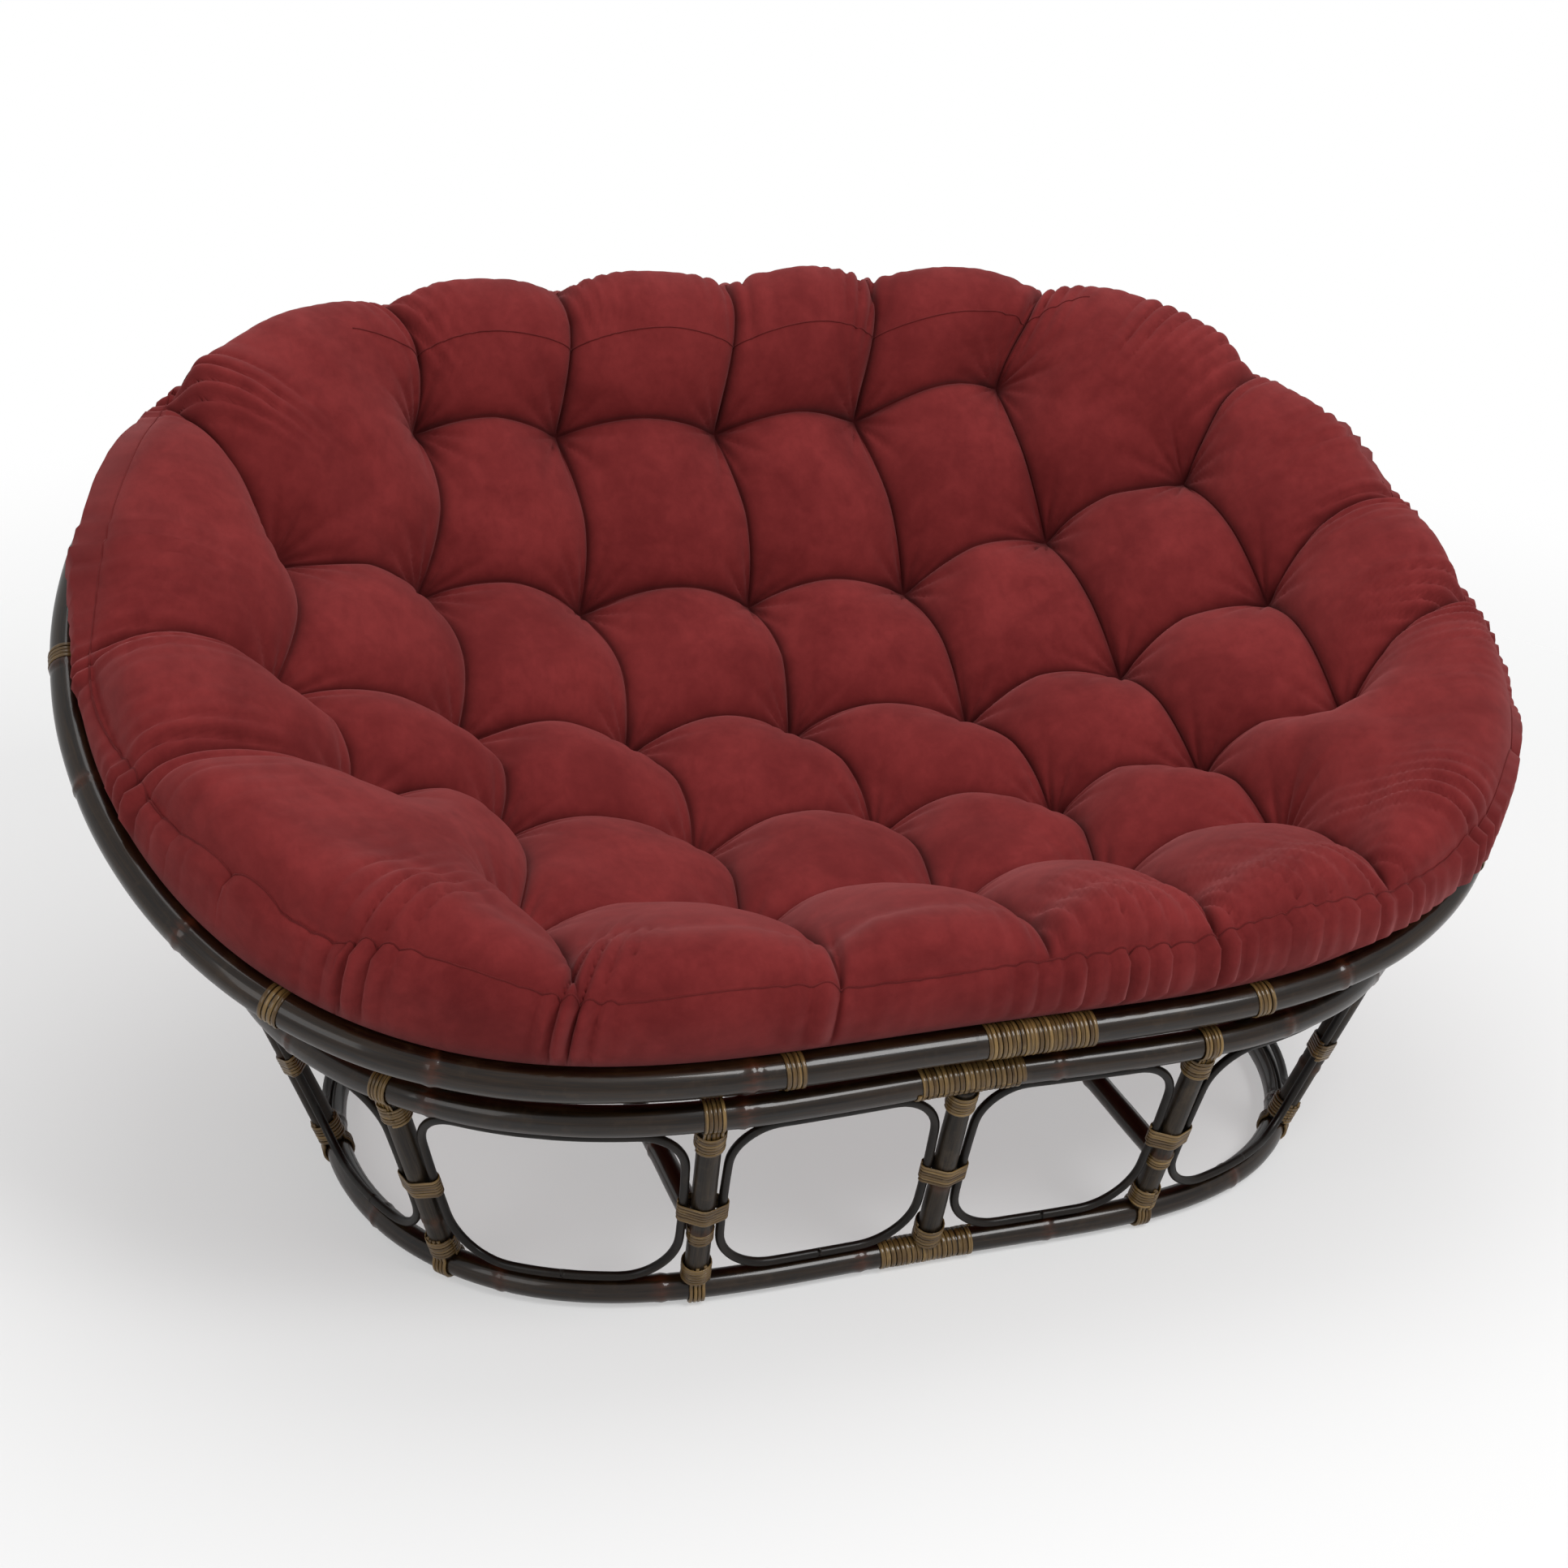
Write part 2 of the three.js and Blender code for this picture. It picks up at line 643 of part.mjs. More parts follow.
// How far from the axis a cross rib lies at its place along it.
function crossRibReach(x) {
  return Math.hypot(topRingHalfWidthAt(Math.abs(x) + ribPoleRadius), axisRise) - ringToRib;
}

function reachPoint(x, angle, reach) {
  return new THREE.Vector3(x, reach * Math.sin(angle), -reach * Math.cos(angle));
}

function fromAxis(point) {
  return new THREE.Vector3(0, point.y, point.z).normalize();
}

const rimRun = Array.from({ length: rimSteps }, (_, index) => {
  const flat = ovalPoint((index * 2 * Math.PI) / rimSteps - Math.PI / 2, rimHalfLength, rimHalfWidth, rimShares);
  return new THREE.Vector3(flat.x, flat.y, -rimDepth);
});

const rimEnvelope = solidOf(ringTube(rimRun, rimPoleRadius + touchGap));

// The side ribs and the hoop lie on the cross ribs, and the middle rib lies on the hoop.
const sideRibDrop = ribOutset - 2 * rib - touchGap;
const hoopDrop = ribOutset - rib - hoop - layGap;
const hoopSlope = rimReach(hoopHalfLength - 2 * hoopPoleRadius) - rimReach(hoopHalfLength);
const middleRibDrop = hoopDrop - hoop - rib - hoopSlope;
const cushionDrop = middleRibDrop - rib - cushionGap;
const sideRibAngle = Math.atan2(sideRibSpread, rimDepth);
const middleRibAngle = Math.atan2(middleRibOffset, rimDepth);

// The place on a closed run that is nearest to a point: how far along it lies, and how far away.
function nearestOnRun(run, point) {
  let walked = 0;
  let nearest = { along: 0, away: Infinity };
  run.forEach((corner, index) => {
    const span = run[(index + 1) % run.length].clone().sub(corner);
    const share = THREE.MathUtils.clamp(point.clone().sub(corner).dot(span) / span.lengthSq(), 0, 1);
    const away = corner.clone().addScaledVector(span, share).distanceTo(point);
    if (away < nearest.away) nearest = { along: walked + share * span.length(), away };
    walked += span.length();
  });
  return nearest;
}

// How far along the rim a rib comes out of it, going from the rib's first point.
function leavesRimAt(points) {
  let nearest = nearestOnRun(rimRun, points[0]);
  for (let step = 1; nearest.away < rimPoleRadius; step += 1) {
    const span = Math.floor(step / exitSteps);
    nearest = nearestOnRun(rimRun, points[span].clone().lerp(points[span + 1], (step % exitSteps) / exitSteps));
  }
  return nearest.along;
}

// A rib: its coped ends meet the rim, and wraps of peel tie them to it.
function ribGeometry(points) {
  const section = sectionOf(cornerRadius(ribPoleRadius, ribSides), ribSides);
  let solid = solidOf(tube(stationsThrough(points, fromAxis, false), section, false));
  for (const ends of [points, points.toReversed()]) {
    const place = leavesRimAt(ends);
    const stops = [-poleWrapLength / 2, 0, poleWrapLength / 2].map((offset) => alongRun(rimRun, place + offset));
    const radius = cornerRadius(rimPoleRadius + touchGap + peelThickness, poleSides);
    solid = solid.add(solidOf(tube(stationsThrough(stops, () => up, false), sectionOf(radius, poleSides), false)));
  }
  return geometryOf(solid.subtract(rimEnvelope));
}

function hoopPoint(turn) {
  const flat = ovalPoint(turn, hoopHalfLength, hoopHalfWidth, rimShares);
  const reach = rimReach(flat.x) + hoopDrop;
  return reachPoint(flat.x, Math.asin(flat.y / reach), reach);
}

const angleOf = (point) => Math.atan2(point.y, -point.z);
const middleRibTurn = lastWhere(0, Math.PI / 2, (turn) => angleOf(hoopPoint(turn)) < middleRibAngle);
const crossRibTurns = crossRibPlaces.map((x) => lastWhere(0, Math.PI, (turn) => hoopPoint(turn).x > x));

// A rib across the bowl, with corners where it meets the stand's ring and the other poles.
function crossRibPoints(index) {
  const x = crossRibPlaces[index];
  const edge = Math.atan2(ovalHalfWidthAt(x, rimHalfLength, rimHalfWidth, rimShares), rimDepth);
  const ringAngle = Math.atan2(topRingHalfWidthAt(x), axisRise);
  const hoopAngle = angleOf(hoopPoint(crossRibTurns[index]));
  const meets = [-ringAngle - tilt, -sideRibAngle, -hoopAngle, ringAngle - tilt, hoopAngle, sideRibAngle];
  const stops = [-edge, ...meets.sort((one, other) => one - other), edge];
  return filled(stops, ribTurn).map((angle) => reachPoint(x, angle, crossRibReach(x)));
}

// A rib along the bowl, at an angle about its axis, with corners where it meets the poles
// that it lies on.
function longRibPoints(angle, drop, meets, widestTurn) {
  const across = Math.abs(rimDepth * Math.tan(angle));
  const end = lastWhere(0, rimHalfLength, (x) => ovalHalfWidthAt(x, rimHalfLength, rimHalfWidth, rimShares) > across);
  const stops = [-end, ...meets, end].map((x) => Math.asin(x / end));
  return filled(stops, widestTurn).map((turn) => {
    const x = end * Math.sin(turn);
    const meet = Math.abs(x > 0 ? meets[1] : meets[0]);
    const beyond = Math.max(0, (Math.abs(x) - meet) / (end - meet));
    return reachPoint(x, angle, rimReach(x) + drop * (1 - beyond ** ribLiftPower));
  });
}

function hoopGeometry() {
  const turns = [middleRibTurn, crossRibTurns[1], crossRibTurns[0], Math.PI - middleRibTurn].sort((a, b) => a - b);
  const mirrored = crossRibTurns.map((turn) => 2 * Math.PI - turn).sort((a, b) => a - b);
  const stops = [...turns, ...mirrored, turns[0] + 2 * Math.PI];
  const points = filled(stops, hoopTurn).slice(0, -1).map(hoopPoint);
  const section = sectionOf(cornerRadius(hoopPoleRadius, ribSides), ribSides);
  return tube(stationsThrough(points, fromAxis, true), section, true);
}

function bowl() {
  const group = new THREE.Group();
  group.add(piece('rim', ringTube(rimRun, rimPoleRadius), darkRattan));
  group.add(piece('cross_rib_left', ribGeometry(crossRibPoints(0)), darkRattan));
  group.add(piece('cross_rib_right', ribGeometry(crossRibPoints(1)), darkRattan));
  const frontRib = longRibPoints(-sideRibAngle, sideRibDrop, crossRibPlaces, ribTurn);
  const backRib = longRibPoints(sideRibAngle, sideRibDrop, crossRibPlaces, ribTurn);
  const hoopEnd = hoopPoint(middleRibTurn).x;
  const middleRib = longRibPoints(middleRibAngle, middleRibDrop, [-hoopEnd, hoopEnd], ribTurn / 2);
  group.add(piece('long_rib_front', ribGeometry(frontRib), darkRattan));
  group.add(piece('long_rib_middle', ribGeometry(middleRib), darkRattan));
  group.add(piece('long_rib_back', ribGeometry(backRib), darkRattan));
  group.add(piece('bowl_hoop', hoopGeometry(), darkRattan));
  const splice = wound(rimRun, rimSpliceMiddle, rimPoleRadius, rimSpliceTurns, rimTurnGap,
    strandRadius);
  reportGap('rim splice', splice, poleSides, strandRadius);
  group.add(piece('rim_splice', strandTube(splice, strandRadius), peel));
  return group;
}

// Cushion, in the bowl's frame

const cushionCentre = new THREE.Vector2(cushionShiftRight, cushionShiftBack);

// A place in a square, from -1 to 1 each way, drawn onto a round disc of the same reach.
function onDisc(across, along) {
  return new THREE.Vector2(across * Math.sqrt(1 - (along * along) / 2), along * Math.sqrt(1 - (across * across) / 2));
}

function cushionPlan(disc, halfLength, halfWidth) {
  const flat = ovalPoint(Math.atan2(disc.y, disc.x), halfLength, halfWidth, rimShares);
  return flat.multiplyScalar(disc.length()).add(cushionCentre);
}

const cushionFloorReach = (x) => rimReach(x) + cushionDrop;
const seatLevel = cushionThickness - cushionFloorReach(0);
const edgeLevel = cushionEdgeHeight - rimDepth;

// The underside: it lies on the ribs and the hoop.
function floorPoint(disc) {
  const flat = cushionPlan(disc, cushionFloorHalfLength, cushionFloorHalfWidth);
  const reach = cushionFloorReach(flat.x);
  return new THREE.Vector3(flat.x, flat.y, -Math.sqrt(reach * reach - flat.y * flat.y));
}

// How far the tufts draw the top in at a place, and how far it stands proud between them.
function tuftedRise(flat, share) {
  const along = (flat.x - cushionCentre.x) / tuftSpacingAlong;
  const across = (flat.y - cushionCentre.y) / tuftSpacingAcross;
  const pillow = (Math.sin(Math.PI * along) * Math.sin(Math.PI * across)) ** 2;
  const column = THREE.MathUtils.clamp(Math.round(along), -tuftColumns, tuftColumns);
  const row = THREE.MathUtils.clamp(Math.round(across), -tuftRows, tuftRows);
  const away = Math.hypot((along - column) * tuftSpacingAlong, (across - row) * tuftSpacingAcross);
  const pull = Math.exp(-((away / tuftRadius) ** 2));
  const fade = 1 - THREE.MathUtils.smoothstep(share, tuftReachShare, 1);
  return fade * (pillowRise * pillow - tuftDepth * pull);
}

function topPoint(disc) {
  const flat = cushionPlan(disc, cushionHalfLength, cushionHalfWidth);
  const share = disc.length();
  const sink = (share / hollowShare) ** hollowPower;
  const rise = sink / (1 + sink ** hollowCornerPower) ** (1 / hollowCornerPower);
  const roll = cushionEdgeRoll * THREE.MathUtils.smoothstep(share, hollowShare, 1);
  const level = seatLevel + (edgeLevel - seatLevel) * rise - roll;
  return new THREE.Vector3(flat.x, flat.y, level + tuftedRise(flat, share));
}

// A ring of points round the cushion's wall, at a height over the middle of the rim's pole.
function wallRing(rim, height, placeShare) {
  return rim.map((disc) => {
    const outer = cushionPlan(disc, cushionHalfLength + cushionWallBulge, cushionHalfWidth + cushionWallBulge);
    const inner = cushionPlan(disc, cushionFloorHalfLength, cushionFloorHalfWidth);
    const flat = inner.lerp(outer, placeShare);
    return new THREE.Vector3(flat.x, flat.y, height - rimDepth);
  });
}

function cushionGeometry() {
  const width = cushionColumns + 1;
  const discs = [];
  for (let row = 0; row <= cushionRows; row += 1) {
    for (let column = 0; column <= cushionColumns; column += 1) {
      discs.push(onDisc((2 * column) / cushionColumns - 1, (2 * row) / cushionRows - 1));
    }
  }
  const border = [];
  for (let column = 0; column < cushionColumns; column += 1) border.push(column);
  for (let row = 0; row < cushionRows; row += 1) border.push(row * width + cushionColumns);
  for (let column = cushionColumns; column > 0; column -= 1) border.push(cushionRows * width + column);
  for (let row = cushionRows; row > 0; row -= 1) border.push(row * width);
  const rimDiscs = border.map((index) => discs[index].clone());
  const wallHeights = [cushionEdgeHeight * bulgeHeightShare, rimPoleRadius + cushionLipRise,
    rimPoleRadius - cushionNeckDrop];
  const rings = wallHeights.map((height, index) => wallRing(rimDiscs, height, wallPlaceShares[index]));
  const points = [...discs.map(topPoint), ...discs.map(floorPoint), ...rings.flat()];
  const faces = [];
  for (let row = 0; row < cushionRows; row += 1) {
    for (let column = 0; column < cushionColumns; column += 1) {
      const near = row * width + column;
      const far = near + width;
      faces.push(near, near + 1, far + 1, near, far + 1, far);
      const under = discs.length;
      faces.push(under + near, under + far + 1, under + near + 1, under + near, under + far, under + far + 1);
    }
  }
  const loops = [border, ...rings.map((_, ring) => border.map((__, index) =>
    2 * discs.length + ring * border.length + index)), border.map((index) => discs.length + index)];
  for (let loop = 0; loop < loops.length - 1; loop += 1) {
    border.forEach((_, index) => {
      const beside = (index + 1) % border.length;
      const [over, under] = [loops[loop], loops[loop + 1]];
      faces.push(over[index], under[index], under[beside], over[index], under[beside], over[beside]);
    });
  }
  const geometry = new THREE.BufferGeometry();
  geometry.setAttribute('position', new THREE.Float32BufferAttribute(points.flatMap((p) => p.toArray()), 3));
  geometry.setIndex(faces);
  return geometry;
}

const chair = new THREE.Group();
chair.add(stand());
const tilted = bowl();
tilted.add(piece('cushion', cushionGeometry(), burgundySuede));
tilted.position.z = pivotHeight;
tilted.rotation.x = tilt;
chair.add(tilted);

// The origin goes under the middle of the whole chair.
const bounds = new THREE.Box3().setFromObject(chair, true);
const middle = bounds.getCenter(new THREE.Vector3());
chair.position.set(-middle.x, -middle.y, -bounds.min.z);

export default chair;
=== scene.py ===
"""Two-seat papasan chair: rattan stand, tilted rattan bowl and tufted suede cushion.

Metres, +Z up, the origin on the floor under the middle of the chair, its front towards -Y.
"""
import json
import logging
import math
from dataclasses import dataclass, field
from enum import Enum

import bpy
import numpy as np
from mathutils import Matrix, Vector


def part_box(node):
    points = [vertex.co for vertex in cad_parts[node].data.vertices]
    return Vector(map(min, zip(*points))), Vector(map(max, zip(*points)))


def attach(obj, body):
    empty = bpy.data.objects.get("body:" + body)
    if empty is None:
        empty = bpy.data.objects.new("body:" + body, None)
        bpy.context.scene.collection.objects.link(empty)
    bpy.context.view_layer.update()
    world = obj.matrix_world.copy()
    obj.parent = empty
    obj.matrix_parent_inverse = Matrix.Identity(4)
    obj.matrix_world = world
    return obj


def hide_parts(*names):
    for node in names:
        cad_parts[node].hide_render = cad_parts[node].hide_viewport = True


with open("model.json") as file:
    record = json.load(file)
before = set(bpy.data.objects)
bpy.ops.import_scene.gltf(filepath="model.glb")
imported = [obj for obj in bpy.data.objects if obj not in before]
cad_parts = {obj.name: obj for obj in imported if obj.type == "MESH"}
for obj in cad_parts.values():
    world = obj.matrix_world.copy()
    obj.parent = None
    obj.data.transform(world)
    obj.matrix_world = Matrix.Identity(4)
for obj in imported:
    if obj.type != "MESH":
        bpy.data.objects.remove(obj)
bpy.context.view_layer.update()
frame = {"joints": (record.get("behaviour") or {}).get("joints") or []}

LOG = logging.getLogger("papasan")
MM = 0.001
UP = np.array([0.0, 0.0, 1.0])
Shares = tuple[float, float]
# How many facets the frame's poles have.
RING_FACETS = 8
UPRIGHT_FACETS = 6
CANE_FACETS = 4
RIB_FACETS = 6
# How closely ovals are stepped, and how closely a run is searched.
OVAL_STEPS = 2000
SEARCH_STEP = 1 * MM


def unit(vectors: np.ndarray) -> np.ndarray:
    """The same directions, each of length 1."""
    return vectors / np.maximum(np.linalg.norm(vectors, axis=-1, keepdims=True), 1e-12)


def corner_radius(radius: float, sides: int) -> float:
    """How far a faceted pole's corners lie from its middle, for a section as large as a round one's."""
    turn = 2 * math.pi / sides
    return radius * math.sqrt(turn / math.sin(turn))


def flat_radius(radius: float, sides: int) -> float:
    """How far the flats of a pole's facets lie from its middle in the frame."""
    return corner_radius(radius, sides) * math.cos(math.pi / sides)


def smooth_step(values: np.ndarray, start: float, end: float) -> np.ndarray:
    """A smooth rise from 0 at the start to 1 at the end, read at each value."""
    share = np.clip((values - start) / (end - start), 0.0, 1.0)
    return share * share * (3 - 2 * share)


def ripple(places: np.ndarray, seed: int, waves: int = 7) -> np.ndarray:
    """Smooth unevenness, the same each run.

    Args:
        places: points, already divided by the size of the unevenness.
        seed: picks the pattern.
        waves: how many waves it sums.

    Returns:
        A value for each point, mostly between -1 and 1.
    """
    rng = np.random.default_rng(seed)
    total = np.zeros(places.shape[:-1])
    for _ in range(waves):
        way = rng.normal(size=places.shape[-1])
        total += np.sin(places @ way * rng.uniform(1.2, 2.6) + rng.uniform(0, 2 * math.pi))
    return total / math.sqrt(waves)


def between(before: np.ndarray, here: np.ndarray, after: np.ndarray, later: np.ndarray,
            share: np.ndarray) -> np.ndarray:
    """A smooth curve through four values, read between the middle two.

    Args:
        before: the first value.
        here: the second, where the reading starts.
        after: the third, where it ends.
        later: the fourth.
        share: how far it has come, from 0 to 1.

    Returns:
        The values of the curve.
    """
    bent = 2 * before - 5 * here + 4 * after - later
    curled = 3 * here - before - 3 * after + later
    return 0.5 * (2 * here + (after - before) * share + bent * share ** 2 + curled * share ** 3)


@dataclass(frozen=True)
class Oval:
    """An oval with drawn-out ends and full sides.

    Attributes:
        half_length: reach along X.
        half_width: reach along Y.
        shares: how far the ends are drawn out, and how far the sides are filled.
    """

    half_length: float
    half_width: float
    shares: Shares

    def at(self, angle: np.ndarray) -> np.ndarray:
        """Points of the oval, by the angle round it from its right-hand end.

        Args:
            angle: angles in radians.

        Returns:
            A row of X and Y for each angle.
        """
        angle = np.asarray(angle, float)
        end, side = self.shares
        x = self.half_length * (np.cos(angle) + end * np.cos(3 * angle)) / (1 + end)
        y = self.half_width * (np.sin(angle) + side * np.sin(3 * angle)) / (1 - side)
        return np.stack([x, y], axis=-1)

    def half_width_at(self, x: np.ndarray) -> np.ndarray:
        """Half the oval's width at places along its length, measured from its middle."""
        points = self.at(np.linspace(0, math.pi / 2, OVAL_STEPS + 1))
        return np.interp(np.abs(x), points[::-1, 0], points[::-1, 1])

    def reach_towards(self, places: np.ndarray) -> np.ndarray:
        """How far the oval lies from its middle in the direction of each place.

        Args:
            places: X and Y of the places, from its middle.

        Returns:
            A distance for each place.
        """
        points = self.at(np.linspace(-math.pi, math.pi, 2 * OVAL_STEPS + 1))
        order = np.argsort(np.arctan2(points[:, 1], points[:, 0]))
        around = np.arctan2(points[order, 1], points[order, 0])
        reach = np.hypot(points[order, 0], points[order, 1])
        return np.interp(np.arctan2(places[..., 1], places[..., 0]), around, reach, period=2 * math.pi)


class Run:
    """A pole's middle line, with an outward direction at each point of it."""

    def __init__(self, points: np.ndarray, outward: np.ndarray, closed: bool = False) -> None:
        """Measures the line.

        Args:
            points: points along it.
            outward: a rough outward direction at each point, or one for all of them.
            closed: whether its end meets its start.
        """
        self.points = np.asarray(points, float)
        self.outward = np.broadcast_to(np.asarray(outward, float), self.points.shape)
        self.closed = closed
        if closed:
            self.points = np.vstack([self.points, self.points[:1]])
            self.outward = np.vstack([self.outward, self.outward[:1]])
        steps = np.linalg.norm(np.diff(self.points, axis=0), axis=1)
        self.distances = np.concatenate([[0.0], np.cumsum(steps)])
        self.length = float(self.distances[-1])

    def at(self, distance: np.ndarray) -> tuple[np.ndarray, np.ndarray]:
        """Where the run is, and which way is out.

        Args:
            distance: distances along it.

        Returns:
            Points and outward directions.
        """
        distance = np.asarray(distance, float)
        if self.closed:
            distance = np.mod(distance, self.length)
        read = []
        for values in (self.points, self.outward):
            axes = [np.interp(distance, self.distances, values[:, axis]) for axis in range(3)]
            read.append(np.stack(axes, axis=-1))
        return read[0], read[1]

    def frames(self, distance: np.ndarray, reach: float = 4 * MM) -> tuple[np.ndarray, ...]:
        """Points with three directions square to each other.

        Args:
            distance: distances along the run.
            reach: how far apart the tangent is measured.

        Returns:
            Points, tangents, sides and outward directions.
        """
        point, out = self.at(distance)
        if self.closed:
            ahead, behind = self.at(distance + reach)[0], self.at(distance - reach)[0]
        else:
            ahead = self.at(np.minimum(distance + reach, self.length))[0]
            behind = self.at(np.maximum(distance - reach, 0.0))[0]
        tangent = unit(ahead - behind)
        high = unit(out - tangent * np.sum(out * tangent, axis=-1, keepdims=True))
        return point, tangent, np.cross(high, tangent), high

    def nearest(self, place: np.ndarray) -> tuple[float, float]:
        """Finds where the run comes nearest to a point.

        Args:
            place: the point.

        Returns:
            How far along the run that is, and how far away.
        """
        fine = np.linspace(0, self.length, int(self.length / SEARCH_STEP))
        away = np.linalg.norm(self.at(fine)[0] - place, axis=1)
        index = int(np.argmin(away))
        return float(fine[index]), float(away[index])


class Skin:
    """The faces of one piece, gathered tube by tube, with what its finish reads from them."""

    def __init__(self) -> None:
        """Starts with no faces."""
        self.places: list[np.ndarray] = []
        self.straight: list[np.ndarray] = []
        self.tones: list[np.ndarray] = []
        self.bands: list[np.ndarray] = []
        self.faces: list[tuple[int, ...]] = []
        self.count = 0

    def add(self, places: np.ndarray, faces: list[tuple[int, ...]], straight: np.ndarray,
            tone: np.ndarray, band: np.ndarray) -> None:
        """Adds a set of faces.

        Args:
            places: its corners.
            faces: its faces, by corner.
            straight: where each corner would lie if the strand were straight.
            tone: a shade for each corner, from 0 to 1.
            band: on a pole, how near each corner is to a knuckle; on the cushion, how much shade is painted
                on it; from 0 to 1.
        """
        self.places.append(places)
        self.straight.append(straight)
        self.tones.append(tone)
        self.bands.append(band)
        self.faces.extend(tuple(int(corner) + self.count for corner in face) for face in faces)
        self.count += len(places)

    def tube(self, centre: np.ndarray, side: np.ndarray, high: np.ndarray, wide: np.ndarray,
             deep: np.ndarray, closed: bool, tone: float, band: np.ndarray | None, sides: int,
             square: float = 1.0, phase: float = 0.0) -> None:
        """Adds a tube along stations.

        Args:
            centre: its middle at each station.
            side: the direction across it at each station.
            high: the outward direction at each station.
            wide: its half-width at each station, or one for all.
            deep: its half-depth at each station, or one for all.
            closed: whether its end meets its start.
            tone: its shade, from 0 to 1.
            band: on a pole, how near each station is to a knuckle; on a seam's line, how much shade is
                painted on it; from 0 to 1.
            sides: corners round it.
            square: below 1 it has flatter faces and tighter corners.
            phase: how far along its grain starts.
        """
        count = len(centre)
        angle = np.arange(sides) * 2 * math.pi / sides
        across = np.sign(np.cos(angle)) * np.abs(np.cos(angle)) ** square
        over = np.sign(np.sin(angle)) * np.abs(np.sin(angle)) ** square
        wide = np.broadcast_to(wide, (count,))[:, None, None]
        deep = np.broadcast_to(deep, (count,))[:, None, None]
        places = (centre[:, None, :] + side[:, None, :] * (wide * across[None, :, None])
                  + high[:, None, :] * (deep * over[None, :, None])).reshape(-1, 3)
        steps = np.linalg.norm(np.diff(centre, axis=0), axis=1)
        along = phase + np.concatenate([[0.0], np.cumsum(steps)])
        straight = np.empty((count, sides, 3))
        straight[..., 0] = wide[..., 0] * across
        straight[..., 1] = deep[..., 0] * over
        straight[..., 2] = along[:, None]
        here = np.arange(count if closed else count - 1)[:, None] * sides
        there = ((here // sides + 1) % count) * sides
        corner = np.arange(sides)[None, :]
        beside = (corner + 1) % sides
        quads = np.stack([here + corner, here + beside, there + beside, there + corner], axis=-1)
        faces = [tuple(quad) for quad in quads.reshape(-1, 4).tolist()]
        if not closed:
            faces.append(tuple(range(sides - 1, -1, -1)))
            faces.append(tuple(range((count - 1) * sides, count * sides)))
        band = np.zeros(count) if band is None else band
        tones = np.full(count * sides, tone)
        self.add(places, faces, straight.reshape(-1, 3), tones, np.repeat(band, sides))

    def build(self, name: str, material: bpy.types.Material) -> bpy.types.Object:
        """Makes the piece.

        Args:
            name: its name.
            material: its finish.

        Returns:
            The Blender object.
        """
        mesh = bpy.data.meshes.new(name)
        mesh.from_pydata(np.vstack(self.places).tolist(), [], self.faces)
        mesh.polygons.foreach_set("use_smooth", [True] * len(mesh.polygons))
        for label, values in (("tone", self.tones), ("band", self.bands)):
            layer = mesh.attributes.new(label, "FLOAT", "POINT")
            layer.data.foreach_set("value", np.concatenate(values).astype(np.float32))
        layer = mesh.attributes.new("straight", "FLOAT_VECTOR", "POINT")
        layer.data.foreach_set("vector", np.vstack(self.straight).astype(np.float32).ravel())
        mesh.materials.append(material)
        mesh.validate()
        piece = bpy.data.objects.new(name, mesh)
        bpy.context.scene.collection.objects.link(piece)
        return piece


class Slot(Enum):
    """The record's material slots."""

    RATTAN = "dark_rattan"
    CANE = "dark_cane"
    PEEL = "peel"
    SUEDE = "suede"


class Body(Enum):
    """The bodies that move against each other."""

    STAND = "stand"
    BOWL = "bowl"
    CUSHION = "cushion"


def settle(piece: bpy.types.Object, body: Body, slot: Slot, *nodes: str) -> bpy.types.Object:
    """Puts a piece on its body and reports it.

    Args:
        piece: the Blender object.
        body: the body that it rides on.
        slot: the record's slot of its finish; not used.
        nodes: the solids that it stands for.

    Returns:
        The same object.
    """
    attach(piece, body.value)
    if nodes:
        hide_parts(*nodes)
    LOG.info("%s: %d faces on %s", piece.name, len(piece.data.polygons), body.value)
    return piece


# Finishes

Colour = tuple[float, float, float, float]
Scale = tuple[float, float, float]
BLACK = (0.0, 0.0, 0.0, 1.0)
WHITE = (1.0, 1.0, 1.0, 1.0)
SCREEN_GAMMA = 2.2


def linear(red: int, green: int, blue: int) -> Colour:
    """A colour as it shows on a screen, as the shader takes it."""
    return tuple((channel / 255) ** SCREEN_GAMMA for channel in (red, green, blue)) + (1.0,)


class Group:
    """A shader node group while it is being made."""

    def __init__(self, name: str, inputs: dict[str, tuple[str, object]], outputs: dict[str, str]) -> None:
        """Makes the group and its sockets.

        Args:
            name: its name.
            inputs: kind and value of each input, by name.
            outputs: kind of each output, by name.
        """
        self.tree = bpy.data.node_groups.new(name, "ShaderNodeTree")
        sockets = self.tree.interface
        for label, (kind, value) in inputs.items():
            socket = sockets.new_socket(name=label, in_out="INPUT", socket_type=f"NodeSocket{kind}")
            if value is not None:
                socket.default_value = value
        for label, kind in outputs.items():
            sockets.new_socket(name=label, in_out="OUTPUT", socket_type=f"NodeSocket{kind}")
        self.given = self.tree.nodes.new("NodeGroupInput").outputs
        self.result = self.tree.nodes.new("NodeGroupOutput").inputs


